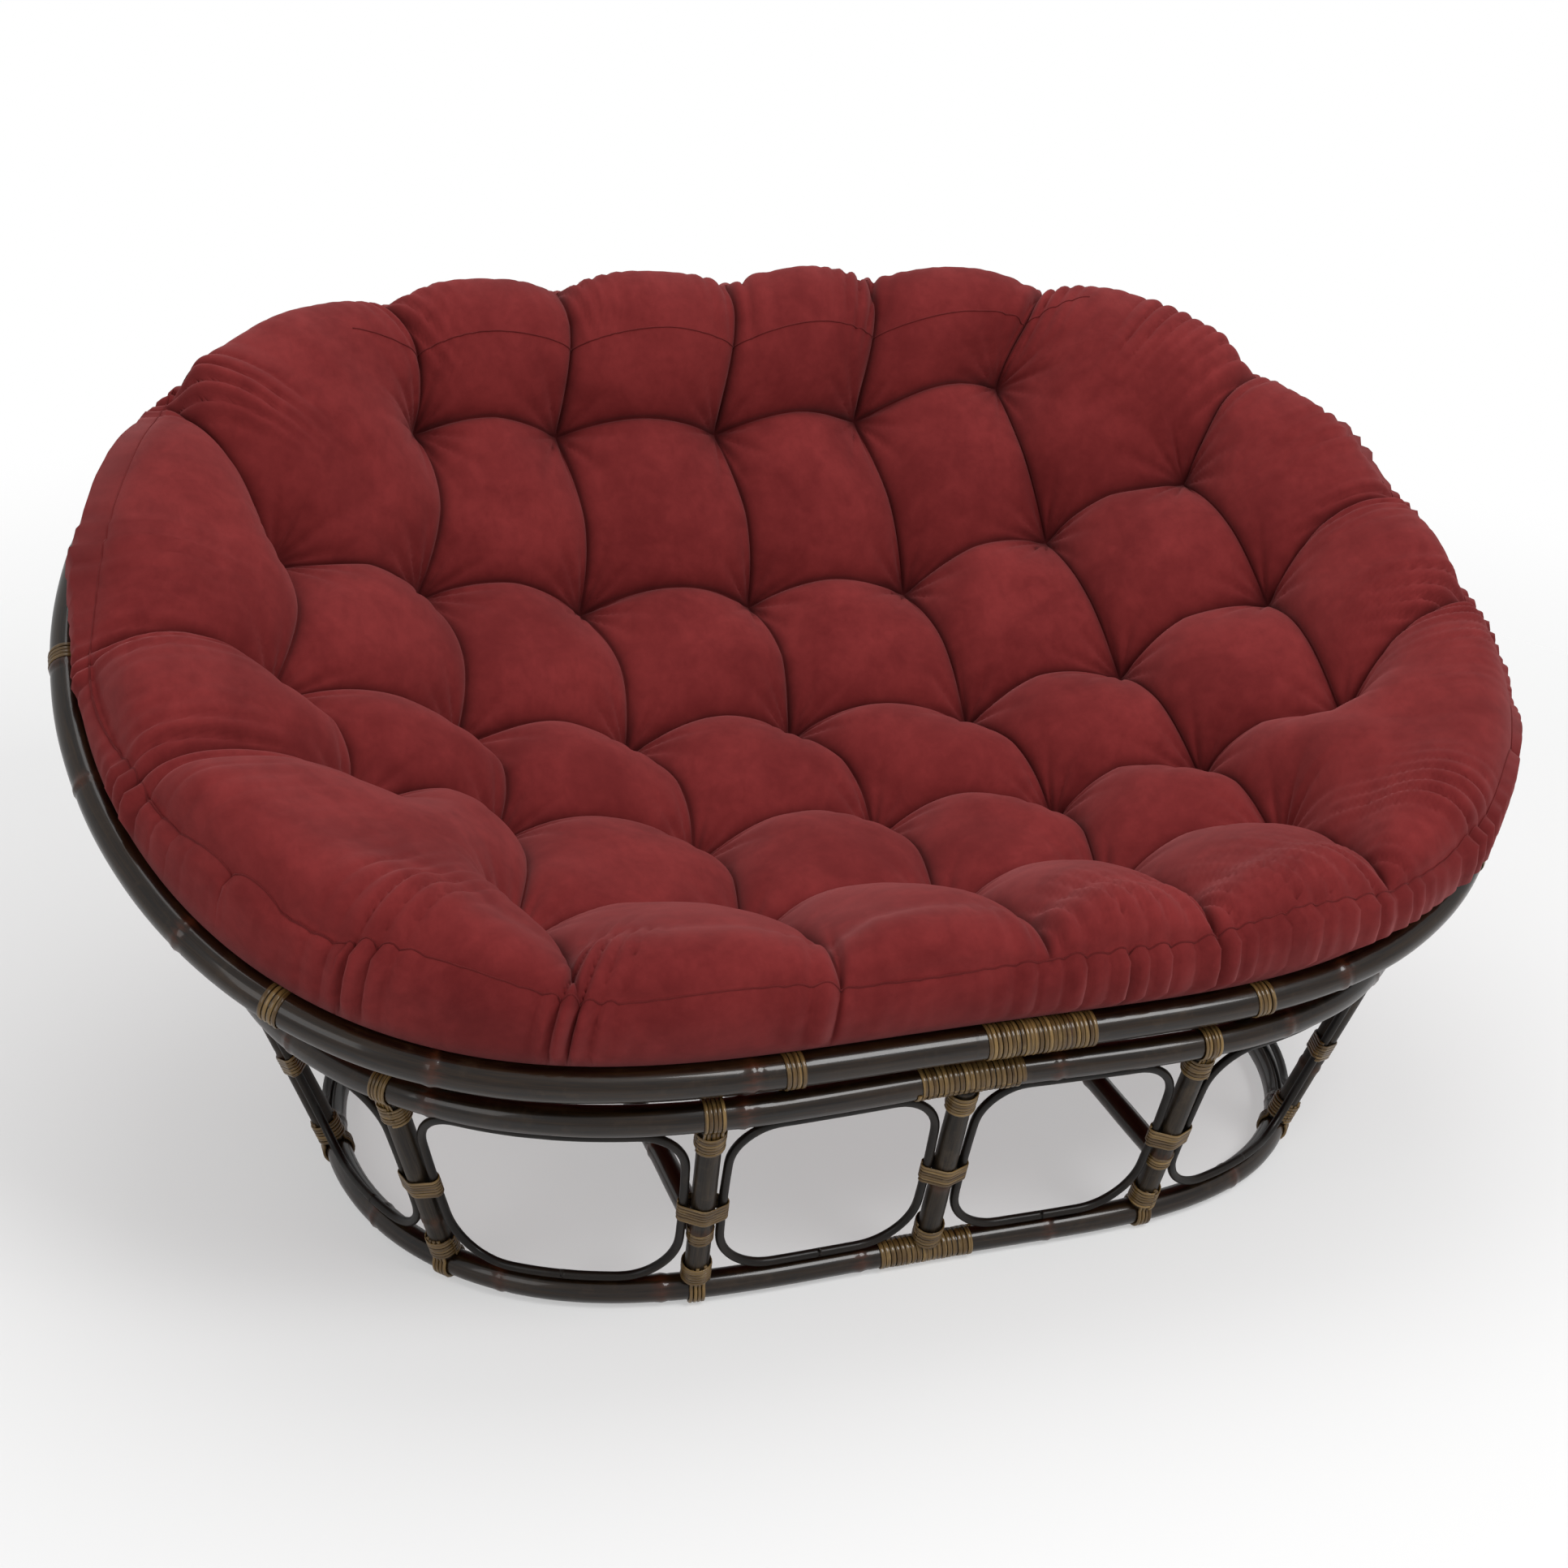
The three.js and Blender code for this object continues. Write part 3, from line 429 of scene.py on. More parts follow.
class Wiring:
    """Short calls that add nodes to a tree and join them."""

    def __init__(self, tree: bpy.types.NodeTree) -> None:
        """Keeps the tree."""
        self.tree = tree

    def put(self, socket: bpy.types.NodeSocket, value: object) -> None:
        """Sets a socket.

        Args:
            socket: the input to set.
            value: another socket to join it to, or its value.
        """
        if isinstance(value, bpy.types.NodeSocket):
            self.tree.links.new(value, socket)
        else:
            socket.default_value = value

    def math(self, operation: str, one: object, two: object) -> bpy.types.NodeSocket:
        """A sum of two numbers, or another operation on them.

        Args:
            operation: Blender's word for the operation.
            one: the first number or socket.
            two: the second.

        Returns:
            The result's socket.
        """
        node = self.tree.nodes.new("ShaderNodeMath")
        node.operation = operation
        self.put(node.inputs[0], one)
        self.put(node.inputs[1], two)
        return node.outputs[0]

    def noise(self, vector: object, scale: object, detail: float = 3.0, roughness: float = 0.5,
              distortion: float = 0.0) -> bpy.types.NodeSocket:
        """Cloudy noise.

        Args:
            vector: where to read it.
            scale: how many clouds go into a metre.
            detail: how many finer layers it has.
            roughness: how strong they are.
            distortion: how far it is stirred.

        Returns:
            A socket with values from 0 to 1.
        """
        node = self.tree.nodes.new("ShaderNodeTexNoise")
        self.put(node.inputs["Vector"], vector)
        self.put(node.inputs["Scale"], scale)
        node.inputs["Detail"].default_value = detail
        node.inputs["Roughness"].default_value = roughness
        node.inputs["Distortion"].default_value = distortion
        return node.outputs["Fac"]

    def stretch(self, vector: object, scale: Scale) -> bpy.types.NodeSocket:
        """Scales each axis of a place.

        Args:
            vector: the place.
            scale: a share for each axis.

        Returns:
            The scaled place's socket.
        """
        node = self.tree.nodes.new("ShaderNodeVectorMath")
        node.operation = "MULTIPLY"
        self.put(node.inputs[0], vector)
        node.inputs[1].default_value = scale
        return node.outputs[0]

    def spread(self, value: object, low: float, high: float) -> bpy.types.NodeSocket:
        """A smooth rise from 0 to 1.

        Args:
            value: the number or socket to read.
            low: where the rise starts.
            high: where it ends.

        Returns:
            The rise's socket.
        """
        node = self.tree.nodes.new("ShaderNodeMapRange")
        node.interpolation_type = "SMOOTHSTEP"
        self.put(node.inputs["Value"], value)
        node.inputs["From Min"].default_value = low
        node.inputs["From Max"].default_value = high
        return node.outputs["Result"]

    def ramp(self, value: object, span: Shares, amount: object) -> bpy.types.NodeSocket:
        """A smooth rise over a span of values, from 0 up to an amount."""
        return self.math("MULTIPLY", self.spread(value, *span), amount)

    def mix(self, share: object, one: object, two: object) -> bpy.types.NodeSocket:
        """A mix of two colours.

        Args:
            share: how much of the second it has.
            one: the first colour.
            two: the second.

        Returns:
            The mixed colour's socket.
        """
        node = self.tree.nodes.new("ShaderNodeMix")
        node.data_type = "RGBA"
        self.put(node.inputs["Factor"], share)
        self.put(node.inputs["A"], one)
        self.put(node.inputs["B"], two)
        return node.outputs["Result"]

    def attribute(self, name: str, vector: bool = False) -> bpy.types.NodeSocket:
        """Reads what the mesh keeps under a name.

        Args:
            name: the name.
            vector: whether it is three numbers, or else one.

        Returns:
            Its socket.
        """
        node = self.tree.nodes.new("ShaderNodeAttribute")
        node.attribute_name = name
        return node.outputs["Vector" if vector else "Fac"]

    def group(self, tree: bpy.types.NodeTree, values: dict[str, object]) -> bpy.types.Node:
        """Adds a node that holds a group.

        Args:
            tree: the group.
            values: numbers, colours or sockets for its inputs, by name.

        Returns:
            The node.
        """
        node = self.tree.nodes.new("ShaderNodeGroup")
        node.node_tree = tree
        for label, value in values.items():
            self.put(node.inputs[label], value)
        return node

    def bump(self, height: object, strength: float, distance: float) -> bpy.types.NodeSocket:
        """A normal from a height.

        Args:
            height: the height's socket.
            strength: how much of it shows.
            distance: how far a height of 1 stands up, in metres.

        Returns:
            The normal's socket.
        """
        node = self.tree.nodes.new("ShaderNodeBump")
        node.inputs["Strength"].default_value = strength
        node.inputs["Distance"].default_value = distance
        self.put(node.inputs["Height"], height)
        return node.outputs["Normal"]


class Effects:
    """The node groups that the finishes share. Their scales are counts to the metre."""

    BROAD_STREAKS = 160.0
    BROAD_STREAK_SHAPE = (1.0, 1.0, 0.07)
    FINE_STREAKS = 900.0
    FINE_STREAK_SHAPE = (1.0, 1.0, 0.025)
    BROAD_SHARE = 0.65
    STREAK_RANGE = (0.33, 0.68)
    PATCHES = 38.0
    PATCH_RANGE = (0.52, 0.74)
    PATCH_AMOUNT = 0.3
    SMALL_CLOUD_RATIO = 5.0
    LARGE_CLOUD_SHARE = 0.6
    CLOUD_RANGE = (0.28, 0.72)

    def __init__(self) -> None:
        """Makes each group once."""
        self.grain = self._grain()
        self.wear = self._wear()
        self.mottle = self._mottle()

    @staticmethod
    def both(wiring: Wiring, one: object, two: object, share: float) -> bpy.types.NodeSocket:
        """Adds two noises, by the first one's share of the sum."""
        rest = wiring.math("MULTIPLY", two, 1 - share)
        return wiring.math("ADD", wiring.math("MULTIPLY", one, share), rest)

    def _grain(self) -> bpy.types.NodeTree:
        """Makes streaks along a strand of rattan.

        Returns:
            The node group.
        """
        group = Group("grain_along_the_strand",
                      {"Place": ("Vector", None), "Dark": ("Color", BLACK), "Light": ("Color", WHITE),
                       "Amount": ("Float", 1.0)},
                      {"Color": "Color", "Height": "Float"})
        wiring = Wiring(group.tree)
        place = group.given["Place"]
        broad = wiring.noise(wiring.stretch(place, self.BROAD_STREAK_SHAPE), self.BROAD_STREAKS, 4.0, 0.6)
        fine = wiring.noise(wiring.stretch(place, self.FINE_STREAK_SHAPE), self.FINE_STREAKS, 2.0, 0.6)
        both = self.both(wiring, broad, fine, self.BROAD_SHARE)
        share = wiring.ramp(both, self.STREAK_RANGE, group.given["Amount"])
        wiring.put(group.result["Color"], wiring.mix(share, group.given["Dark"], group.given["Light"]))
        wiring.put(group.result["Height"], both)
        return group.tree

    def _wear(self) -> bpy.types.NodeTree:
        """Makes rubbed patches that lighten a surface here and there.

        Returns:
            The node group.
        """
        group = Group("rubbed_patches",
                      {"Color": ("Color", BLACK), "Rubbed": ("Color", WHITE), "Place": ("Vector", None)},
                      {"Color": "Color"})
        wiring = Wiring(group.tree)
        patch = wiring.noise(group.given["Place"], self.PATCHES, 5.0, 0.65)
        share = wiring.ramp(patch, self.PATCH_RANGE, self.PATCH_AMOUNT)
        wiring.put(group.result["Color"], wiring.mix(share, group.given["Color"], group.given["Rubbed"]))
        return group.tree

    def _mottle(self) -> bpy.types.NodeTree:
        """Makes soft clouds at two scales, as a brushed nap has.

        Returns:
            The node group.
        """
        group = Group("brushed_clouds",
                      {"Place": ("Vector", None), "Scale": ("Float", 1.0), "Dark": ("Color", BLACK),
                       "Light": ("Color", WHITE)},
                      {"Color": "Color"})
        wiring = Wiring(group.tree)
        place, scale = group.given["Place"], group.given["Scale"]
        large = wiring.noise(place, scale, 4.0, 0.62, 0.6)
        finer = wiring.math("MULTIPLY", scale, self.SMALL_CLOUD_RATIO)
        small = wiring.noise(place, finer, 5.0, 0.7, 0.3)
        mask = wiring.spread(self.both(wiring, large, small, self.LARGE_CLOUD_SHARE), *self.CLOUD_RANGE)
        wiring.put(group.result["Color"], wiring.mix(mask, group.given["Dark"], group.given["Light"]))
        return group.tree


def principled(name: str) -> tuple[bpy.types.Material, Wiring, bpy.types.Node]:
    """Makes a new material.

    Args:
        name: its name.

    Returns:
        The material, its wiring and its shader.
    """
    material = bpy.data.materials.new(name)
    material.use_nodes = True
    return material, Wiring(material.node_tree), material.node_tree.nodes["Principled BSDF"]


@dataclass(frozen=True)
class StrandFinish:
    """Stained and lacquered rattan, cane or peel.

    Attributes:
        name: the material's name.
        dark: the colour between the streaks.
        light: the colour of the streaks.
        accent: the colour at the knuckles, or of the odd strand.
        rubbed: the colour where the lacquer is rubbed.
        roughness: how matt it is.
        coat: how much lacquer lies on it.
        relief: how far its grain stands up, in metres.
        tone_spread: how far single strands differ in shade.
    """

    name: str
    dark: Colour
    light: Colour
    accent: Colour
    rubbed: Colour
    roughness: float
    coat: float
    relief: float
    tone_spread: float = 0.3

    SMEARS = 260.0
    SMEAR_SHAPE = (1.0, 1.0, 0.1)
    SMEAR_RANGE = (0.2, 0.6)
    ACCENT_SHARE = 0.8
    GRAIN_ROUGHNESS = 0.22
    COAT_ROUGHNESS = 0.09
    SPECULAR_LEVEL = 0.25
    BUMP_STRENGTH = 0.5

    def make(self, effects: Effects) -> bpy.types.Material:
        """Makes the material.

        Args:
            effects: the shared node groups.

        Returns:
            The Blender material.
        """
        material, wiring, shader = principled(self.name)
        place = wiring.attribute("straight", vector=True)
        grain = wiring.group(effects.grain, {"Place": place, "Dark": self.dark, "Light": self.light})
        tone = wiring.attribute("tone")
        darker = wiring.math("MULTIPLY", wiring.math("SUBTRACT", 1.0, tone), self.tone_spread)
        shaded = wiring.mix(darker, grain.outputs["Color"], self.dark)
        smears = wiring.noise(wiring.stretch(place, self.SMEAR_SHAPE), self.SMEARS, 3.0)
        streaked = wiring.math("MULTIPLY", wiring.attribute("band"), smears)
        share = wiring.ramp(streaked, self.SMEAR_RANGE, self.ACCENT_SHARE)
        accented = wiring.mix(share, shaded, self.accent)
        wear = wiring.group(effects.wear, {"Color": accented, "Rubbed": self.rubbed, "Place": place})
        wiring.put(shader.inputs["Base Color"], wear.outputs["Color"])
        uneven = wiring.math("MULTIPLY", grain.outputs["Height"], self.GRAIN_ROUGHNESS)
        wiring.put(shader.inputs["Roughness"], wiring.math("ADD", uneven, self.roughness))
        shader.inputs["Coat Weight"].default_value = self.coat
        shader.inputs["Coat Roughness"].default_value = self.COAT_ROUGHNESS
        shader.inputs["Specular IOR Level"].default_value = self.SPECULAR_LEVEL
        wiring.put(shader.inputs["Normal"],
                   wiring.bump(grain.outputs["Height"], self.BUMP_STRENGTH, self.relief))
        return material


@dataclass(frozen=True)
class SuedeFinish:
    """Brushed microsuede.

    Attributes:
        name: the material's name.
        dark: the colour where the nap lies away.
        light: the colour where it stands.
        deep: the painted shade, the colour that the cloth is darkened towards in its creases, tufts, gathers
            and seam lines.
        cloud_scale: how many clouds go into a metre.
        nap_scale: how many tufts of nap go into a metre.
    """

    name: str
    dark: Colour
    light: Colour
    deep: Colour
    cloud_scale: float
    nap_scale: float

    STROKES = 60.0
    STROKE_SHAPE = (1.0, 0.35, 1.0)
    STROKE_RANGE = (0.4, 0.75)
    STROKE_SHARE = 0.35
    ROUGHNESS = 0.93
    SPECULAR_LEVEL = 0.18
    SHEEN = 0.35
    SHEEN_ROUGHNESS = 0.42
    SHEEN_TINT = (214, 140, 140)
    NAP_STRENGTH = 0.35
    NAP_HEIGHT = 0.9 * MM

    def make(self, effects: Effects) -> bpy.types.Material:
        """Makes the material.

        Args:
            effects: the shared node groups.

        Returns:
            The Blender material.
        """
        material, wiring, shader = principled(self.name)
        place = wiring.attribute("straight", vector=True)
        mottle = wiring.group(effects.mottle, {"Place": place, "Scale": self.cloud_scale,
                                               "Dark": self.dark, "Light": self.light})
        strokes = wiring.noise(wiring.stretch(place, self.STROKE_SHAPE), self.STROKES, 5.0, 0.7, 0.5)
        share = wiring.ramp(strokes, self.STROKE_RANGE, self.STROKE_SHARE)
        brushed = wiring.mix(share, mottle.outputs["Color"], self.dark)
        # Painted shade: the band attribute darkens the cloth towards the deep colour in the creases, tufts,
        # gathers and seam lines.
        painted_shade = wiring.spread(wiring.attribute("band"), 0.0, 1.0)
        wiring.put(shader.inputs["Base Color"], wiring.mix(painted_shade, brushed, self.deep))
        shader.inputs["Roughness"].default_value = self.ROUGHNESS
        shader.inputs["Specular IOR Level"].default_value = self.SPECULAR_LEVEL
        shader.inputs["Sheen Weight"].default_value = self.SHEEN
        shader.inputs["Sheen Roughness"].default_value = self.SHEEN_ROUGHNESS
        shader.inputs["Sheen Tint"].default_value = linear(*self.SHEEN_TINT)
        nap = wiring.noise(place, self.nap_scale, 4.0, 0.7)
        height = effects.both(wiring, nap, strokes, 0.5)
        wiring.put(shader.inputs["Normal"], wiring.bump(height, self.NAP_STRENGTH, self.NAP_HEIGHT))
        return material


class Finishes:
    """Every finish of the chair."""

    def __init__(self) -> None:
        """Makes the shared effects, then the materials."""
        effects = Effects()
        rattan = StrandFinish(name="stained_rattan", dark=linear(19, 12, 7), light=linear(48, 34, 19),
                              accent=linear(72, 38, 22), rubbed=linear(72, 57, 42),
                              roughness=0.2, coat=0.6, relief=0.5 * MM)
        upright = StrandFinish(name="stained_upright", dark=linear(26, 21, 17), light=linear(62, 52, 41),
                               accent=linear(74, 48, 32), rubbed=linear(90, 76, 60),
                               roughness=0.32, coat=0.15, relief=0.5 * MM)
        cane = StrandFinish(name="stained_cane", dark=linear(15, 12, 10), light=linear(38, 31, 25),
                            accent=linear(50, 34, 24), rubbed=linear(64, 54, 44),
                            roughness=0.34, coat=0.15, relief=0.2 * MM)
        peel = StrandFinish(name="split_peel", dark=linear(66, 47, 24), light=linear(150, 121, 74),
                            accent=linear(116, 72, 32), rubbed=linear(184, 158, 108),
                            roughness=0.24, coat=0.5, relief=0.3 * MM, tone_spread=0.6)
        # The suede's deep colour is painted shade for the creases, tufts, gathers and seams.
        suede = SuedeFinish(name="burgundy_suede", dark=linear(99, 32, 33), light=linear(127, 47, 47),
                            deep=linear(58, 11, 13), cloud_scale=7.0, nap_scale=1400.0)
        self.rattan, self.upright, self.cane = (finish.make(effects) for finish in (rattan, upright, cane))
        self.peel, self.suede = peel.make(effects), suede.make(effects)


# Poles and peel

# A strip of peel is a tube with flat faces and tight corners.
STRIP_SIDES = 10
STRIP_SQUARE = 0.85


@dataclass
class Maker:
    """Makes poles and windings of peel, each a little uneven.

    Attributes:
        finishes: the finishes.
        rng: the random numbers, seeded.
        station_step: how far apart a pole's stations are.
        uneven_share: how far a pole's radius wanders, as a share of it.
        uneven_length: over what length it does.
        knuckle_spacing: least and most distance from one knuckle to the next.
        knuckle_start: least distance from a pole's end to its first knuckle.
        knuckle_margin: least distance from its last knuckle to its other end.
        knuckle_swell_share: how far a knuckle stands out, as a share of the radius.
        knuckle_valley_share: how deep the groove beside it is, as a share of that swelling.
        knuckle_width: half the length of a knuckle's swelling.
        joint_length: how far a closed pole's unevenness fades out at its joint.
        strip_deep: half the thickness of a strip of peel.
        strip_share: half the width of a strip, as a share of the distance from turn to turn.
        turn_steps: places to a turn.
        slack: how far a turn strays from its place.
    """

    finishes: Finishes
    rng: np.random.Generator = field(default_factory=lambda: np.random.default_rng(11))
    station_step: float = 3.5 * MM
    uneven_share: float = 0.012
    uneven_length: float = 50 * MM
    knuckle_spacing: tuple[float, float] = (160 * MM, 340 * MM)
    knuckle_start: float = 30 * MM
    knuckle_margin: float = 20 * MM
    knuckle_swell_share: float = 0.07
    knuckle_valley_share: float = 0.6
    knuckle_width: float = 4.5 * MM
    joint_length: float = 30 * MM
    strip_deep: float = 0.9 * MM
    strip_share: float = 0.44
    turn_steps: int = 22
    slack: float = 0.35 * MM

    # The groove beside a knuckle: how far from it, and how narrow, in widths of the knuckle.
    VALLEY_PLACE = 1.3
    VALLEY_NARROWNESS = 2.2
    # How far a knuckle's colour spreads, in its widths.
    BAND_SPREAD = 4
    BAND_POWER = 0.9
    POLE_TONES = (0.3, 1.0)
    STRIP_TONES = (0, 1)
    # Where along its grain a strand may start, in metres.
    PHASES = (0, 9)
    # How far a turn of peel stands off its pole, in half thicknesses, and how far that varies.
    TURN_LIFT = 0.9
    TURN_LIFT_SPREAD = 0.25

    def number(self, low: float, high: float) -> float:
        """Draws a random number from low to high."""
        return float(self.rng.uniform(low, high))

    def pattern(self) -> int:
        """Draws a random pattern of unevenness."""
        return int(self.rng.integers(1 << 30))

    def pole(self, skin: Skin, run: Run, radius: float, sides: int, knuckled: bool = True,
             trim: tuple[float, float] = (0.0, 0.0)) -> None:
        """Adds a pole of rattan along a run.

        Args:
            skin: the piece that it goes into.
            run: its middle line.
            radius: its radius.
            sides: corners round it.
            knuckled: whether it has knuckles, or is core cane without them.
            trim: how much is cut off at its start and its end.
        """
        start, end = trim[0], run.length - trim[1]
        count = max(int((end - start) / self.station_step), 4)
        distance = np.linspace(start, end, count, endpoint=not run.closed)
        centre, _, side, high = run.frames(distance)
        swell = self.uneven_share * ripple(distance[:, None] / self.uneven_length, self.pattern())
        band = np.zeros(count)
        if knuckled:
            knuckle = start + self.number(self.knuckle_start, self.knuckle_spacing[0])
            while knuckle < end - self.knuckle_margin:
                away = (distance - knuckle) / self.knuckle_width
                valley = np.exp(-((away - self.VALLEY_PLACE) * self.VALLEY_NARROWNESS) ** 2)
                swell += self.knuckle_swell_share * (np.exp(-away ** 2) - self.knuckle_valley_share * valley)
                band += np.exp(-(np.abs(away) / self.BAND_SPREAD) ** self.BAND_POWER)
                knuckle += self.number(*self.knuckle_spacing)
        if run.closed:
            swell *= smooth_step(np.minimum(distance, run.length - distance), 0.0, self.joint_length)
        round_radius = radius * (1 + swell)
        tone = self.number(*self.POLE_TONES)
        skin.tube(centre, side, high, round_radius, round_radius, run.closed, tone, np.clip(band, 0, 1),
                  sides, phase=self.number(*self.PHASES))

    def rattan_pole(self, node: str, body: Body, run: Run, radius: float, sides: int,
                    trim: float = 0.0) -> None:
        """Makes a pole of stained rattan.

        Args:
            node: the solid that it stands for.
            body: the body that it rides on.
            run: its middle line.
            radius: its radius.
            sides: corners round it.
            trim: how much is cut off at each end.
        """
        skin = Skin()
        self.pole(skin, run, radius, sides, trim=(trim, trim))
        settle(skin.build(f"{node}_pole", self.finishes.rattan), body, Slot.RATTAN, node)

    def splice(self, node: str, body: Body, run: Run, middle: float, radius: float, turns: int,
               pitch: float) -> None:
        """Makes the peel that binds the joint of a bent pole.

        Args:
            node: the solid that it stands for.
            body: the body that it rides on.
            run: the pole's middle line.
            middle: where along it the middle of the splice lies.
            radius: the pole's radius.
            turns: how many turns there are.
            pitch: how far apart they lie.
        """
        skin = Skin()
        self.winding(skin, run, middle, radius, turns, pitch)
        settle(skin.build(f"{node}_turns", self.finishes.peel), body, Slot.PEEL, node)

    def strip(self, skin: Skin, path: np.ndarray, normal: np.ndarray, half_width: float,
              half_depth: float | None = None) -> None:
        """Adds a flat strip of peel along a path.

        Args:
            skin: the piece that it goes into.
            path: its middle line.
            normal: the direction that it faces at each point.
            half_width: half its width.
            half_depth: half its thickness, where it isn't the usual.
        """
        tangent = unit(np.gradient(path, axis=0))
        high = unit(normal - tangent * np.sum(normal * tangent, axis=-1, keepdims=True))
        side = np.cross(high, tangent)
        deep = self.strip_deep if half_depth is None else half_depth
        tone = self.number(*self.STRIP_TONES)
        skin.tube(path, side, high, half_width, deep, False, tone, None, STRIP_SIDES, STRIP_SQUARE,
                  self.number(*self.PHASES))

    def winding(self, skin: Skin, run: Run, middle: float, radius: float, turns: int, pitch: float) -> None:
        """Adds turns of peel round a pole.

        Args:
            skin: the piece that they go into.
            run: the pole's middle line.
            middle: where along it the middle of the turns lies.
            radius: the pole's radius.
            turns: how many turns there are.
            pitch: how far apart they lie.
        """
        count = turns * self.turn_steps + 1
        turn = np.linspace(0, turns, count)
        stray = self.slack * ripple(turn[:, None] * 1.3, self.pattern())
        centre, _, side, high = run.frames(middle + pitch * (turn - turns / 2) + stray)
        angle = turn * 2 * math.pi + self.number(0, 2 * math.pi)
        normal = side * np.cos(angle)[:, None] + high * np.sin(angle)[:, None]
        stand_off = self.TURN_LIFT + self.TURN_LIFT_SPREAD * ripple(turn[:, None] * 2, 5)
        lift = radius + self.strip_deep * stand_off
        path = centre + normal * lift[:, None]
        for first in range(0, count - 1, self.turn_steps):
            last = min(first + self.turn_steps + 2, count)
            self.strip(skin, path[first:last], normal[first:last], self.strip_share * pitch)


# Stand


@dataclass
class Stand:
    """The lampshade-shaped stand.

    Attributes:
        maker: makes its poles and windings.
        top: the oval of the top ring.
        foot: the oval of the foot ring.
        top_radius: the radius of the top ring's pole.
        foot_radius: the radius of the foot ring's pole.
        upright_radius: the radius of an upright.
        brace_radius: the radius of a brace.
        cane_radius: the radius of the cane in a bay.
        cane_top_corner: how round it is bent at its upper corners.
        cane_foot_corner: how round it is bent at its lower corners.
        cane_bow: how far its sides draw in at the top and the foot.
        waist_height: how high the waist bindings lie.
        brace_height: how high the braces lie.
        corner_angle: degrees from the end of the oval to the upright beside it.
        quarter_angle: degrees from the end of the oval to the braced upright.
        bite: how far an upright's ends reach into the rings.
        brace_gap: how far a brace keeps off the uprights.
        wrap_setback: how far the windings at an upright's ends keep off the rings.
        touch_gap: how far poles that touch lie apart.
        turn_pitch: from turn to turn of the windings on the uprights.
        end_turns: how many turns those at its ends have.
        brace_turns: how many turns bind a brace.
        strand_spacing: from strand to strand over a ring.
        strand_overlap: how far, in radians, they bend past half way round it.
        strand_tail: least and most length of their ends, measured from the ring's middle.
        strand_stray: how far they stray to the side.
        strand_least: least distance from the upright's middle to a strand beside it.
        waist_turns: how many turns a waist binding has.
        waist_pitch: from turn to turn of it.
        waist_strip: half the width of its strip.
        waist_slant: how far it slants between the upright's middle and the cane.
        waist_stray: how far a turn of it strays from its place.
    """

    maker: Maker
    top: Oval = Oval(660 * MM, 438 * MM, (0.071, 0.140))
    foot: Oval = Oval(561 * MM, 357.5 * MM, (0.035, 0.129))
    top_radius: float = 15.5 * MM
    foot_radius: float = 14 * MM
    upright_radius: float = 12.5 * MM
    brace_radius: float = 12.5 * MM
    cane_radius: float = 4.75 * MM
    cane_top_corner: float = 48 * MM
    cane_foot_corner: float = 56 * MM
    cane_bow: float = 4 * MM
    waist_height: float = 134 * MM
    brace_height: float = 102 * MM
    corner_angle: float = 27.5
    quarter_angle: float = 60.0
    bite: float = 1 * MM
    brace_gap: float = 0.5 * MM
    wrap_setback: float = 3 * MM
    touch_gap: float = 0.3 * MM
    turn_pitch: float = 4.1 * MM
    end_turns: int = 6
    brace_turns: int = 4
    strand_spacing: float = 4.3 * MM
    strand_overlap: float = 0.75
    strand_tail: tuple[float, float] = (40 * MM, 46 * MM)
    strand_stray: float = 0.5 * MM
    strand_least: float = 3 * MM
    waist_turns: int = 6
    waist_pitch: float = 3.9 * MM
    waist_strip: float = 1.75 * MM
    waist_slant: float = 3 * MM
    waist_stray: float = 0.3 * MM

    NAMES = ("front_middle", "front_right", "front_right_corner", "right_end", "back_right_corner",
             "back_right", "back_middle", "back_left", "back_left_corner", "left_end",
             "front_left_corner", "front_left")
    # Which uprights a brace joins, in front and behind.
    BRACES = ((11, 7, "left"), (1, 5, "right"))
    # The uprights whose waist bindings slant the other way.
    SLANTED_BACK = (0, 1, 2, 11)
    # How many turns the rings' splices have, and from turn to turn.
    TOP_SPLICE = (20, 5.6 * MM)
    FOOT_SPLICE = (18, 5.8 * MM)
    TOP_STRANDS = 5
    FOOT_STRANDS = 4
    STRAND_STEPS = 30
    STRAND_BEND_SHARE = 0.72
    STRAND_WIDTH_SHARE = 0.43
    RING_STEPS = 720
    RING_SIDES = 20
    UPRIGHT_SIDES = 18
    CANE_SIDES = 12
    BAY_STEPS = 97
    CORNER_STEPS = 9
    EDGE_STEPS = 7
    BINDING_STEPS = 48

    def __post_init__(self) -> None:
        """Reads the rings' places from the frame and lays out the bays."""
        low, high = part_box("top_ring")
        self.middle = np.array([(low.x + high.x) / 2, (low.y + high.y) / 2])
        self.top_height = (low.z + high.z) / 2
        low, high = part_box("foot_ring")
        self.foot_height = (low.z + high.z) / 2
        quarter, corner = self.quarter_angle, self.corner_angle
        degrees = (-90, -quarter, -corner, 0, corner, quarter, 90,
                   180 - quarter, 180 - corner, 180, 180 + corner, 180 + quarter)
        self.angles = np.radians(degrees)

    def ring_point(self, oval: Oval, height: float, angle: np.ndarray) -> np.ndarray:
        """Points of a ring at its height, one for each angle round it."""
        flat = oval.at(angle) + self.middle
        return np.concatenate([flat, np.broadcast_to(height, flat.shape[:-1])[..., None]], axis=-1)

    def wall(self, angle: np.ndarray, height: np.ndarray) -> np.ndarray:
        """Points of the sloping wall between the rings.

        Args:
            angle: angles round the stand.
            height: heights over the floor.

        Returns:
            A point for each angle and height.
        """
        share = np.asarray((height - self.foot_height) / (self.top_height - self.foot_height))[..., None]
        foot = self.ring_point(self.foot, self.foot_height, angle)
        return foot + (self.ring_point(self.top, self.top_height, angle) - foot) * share

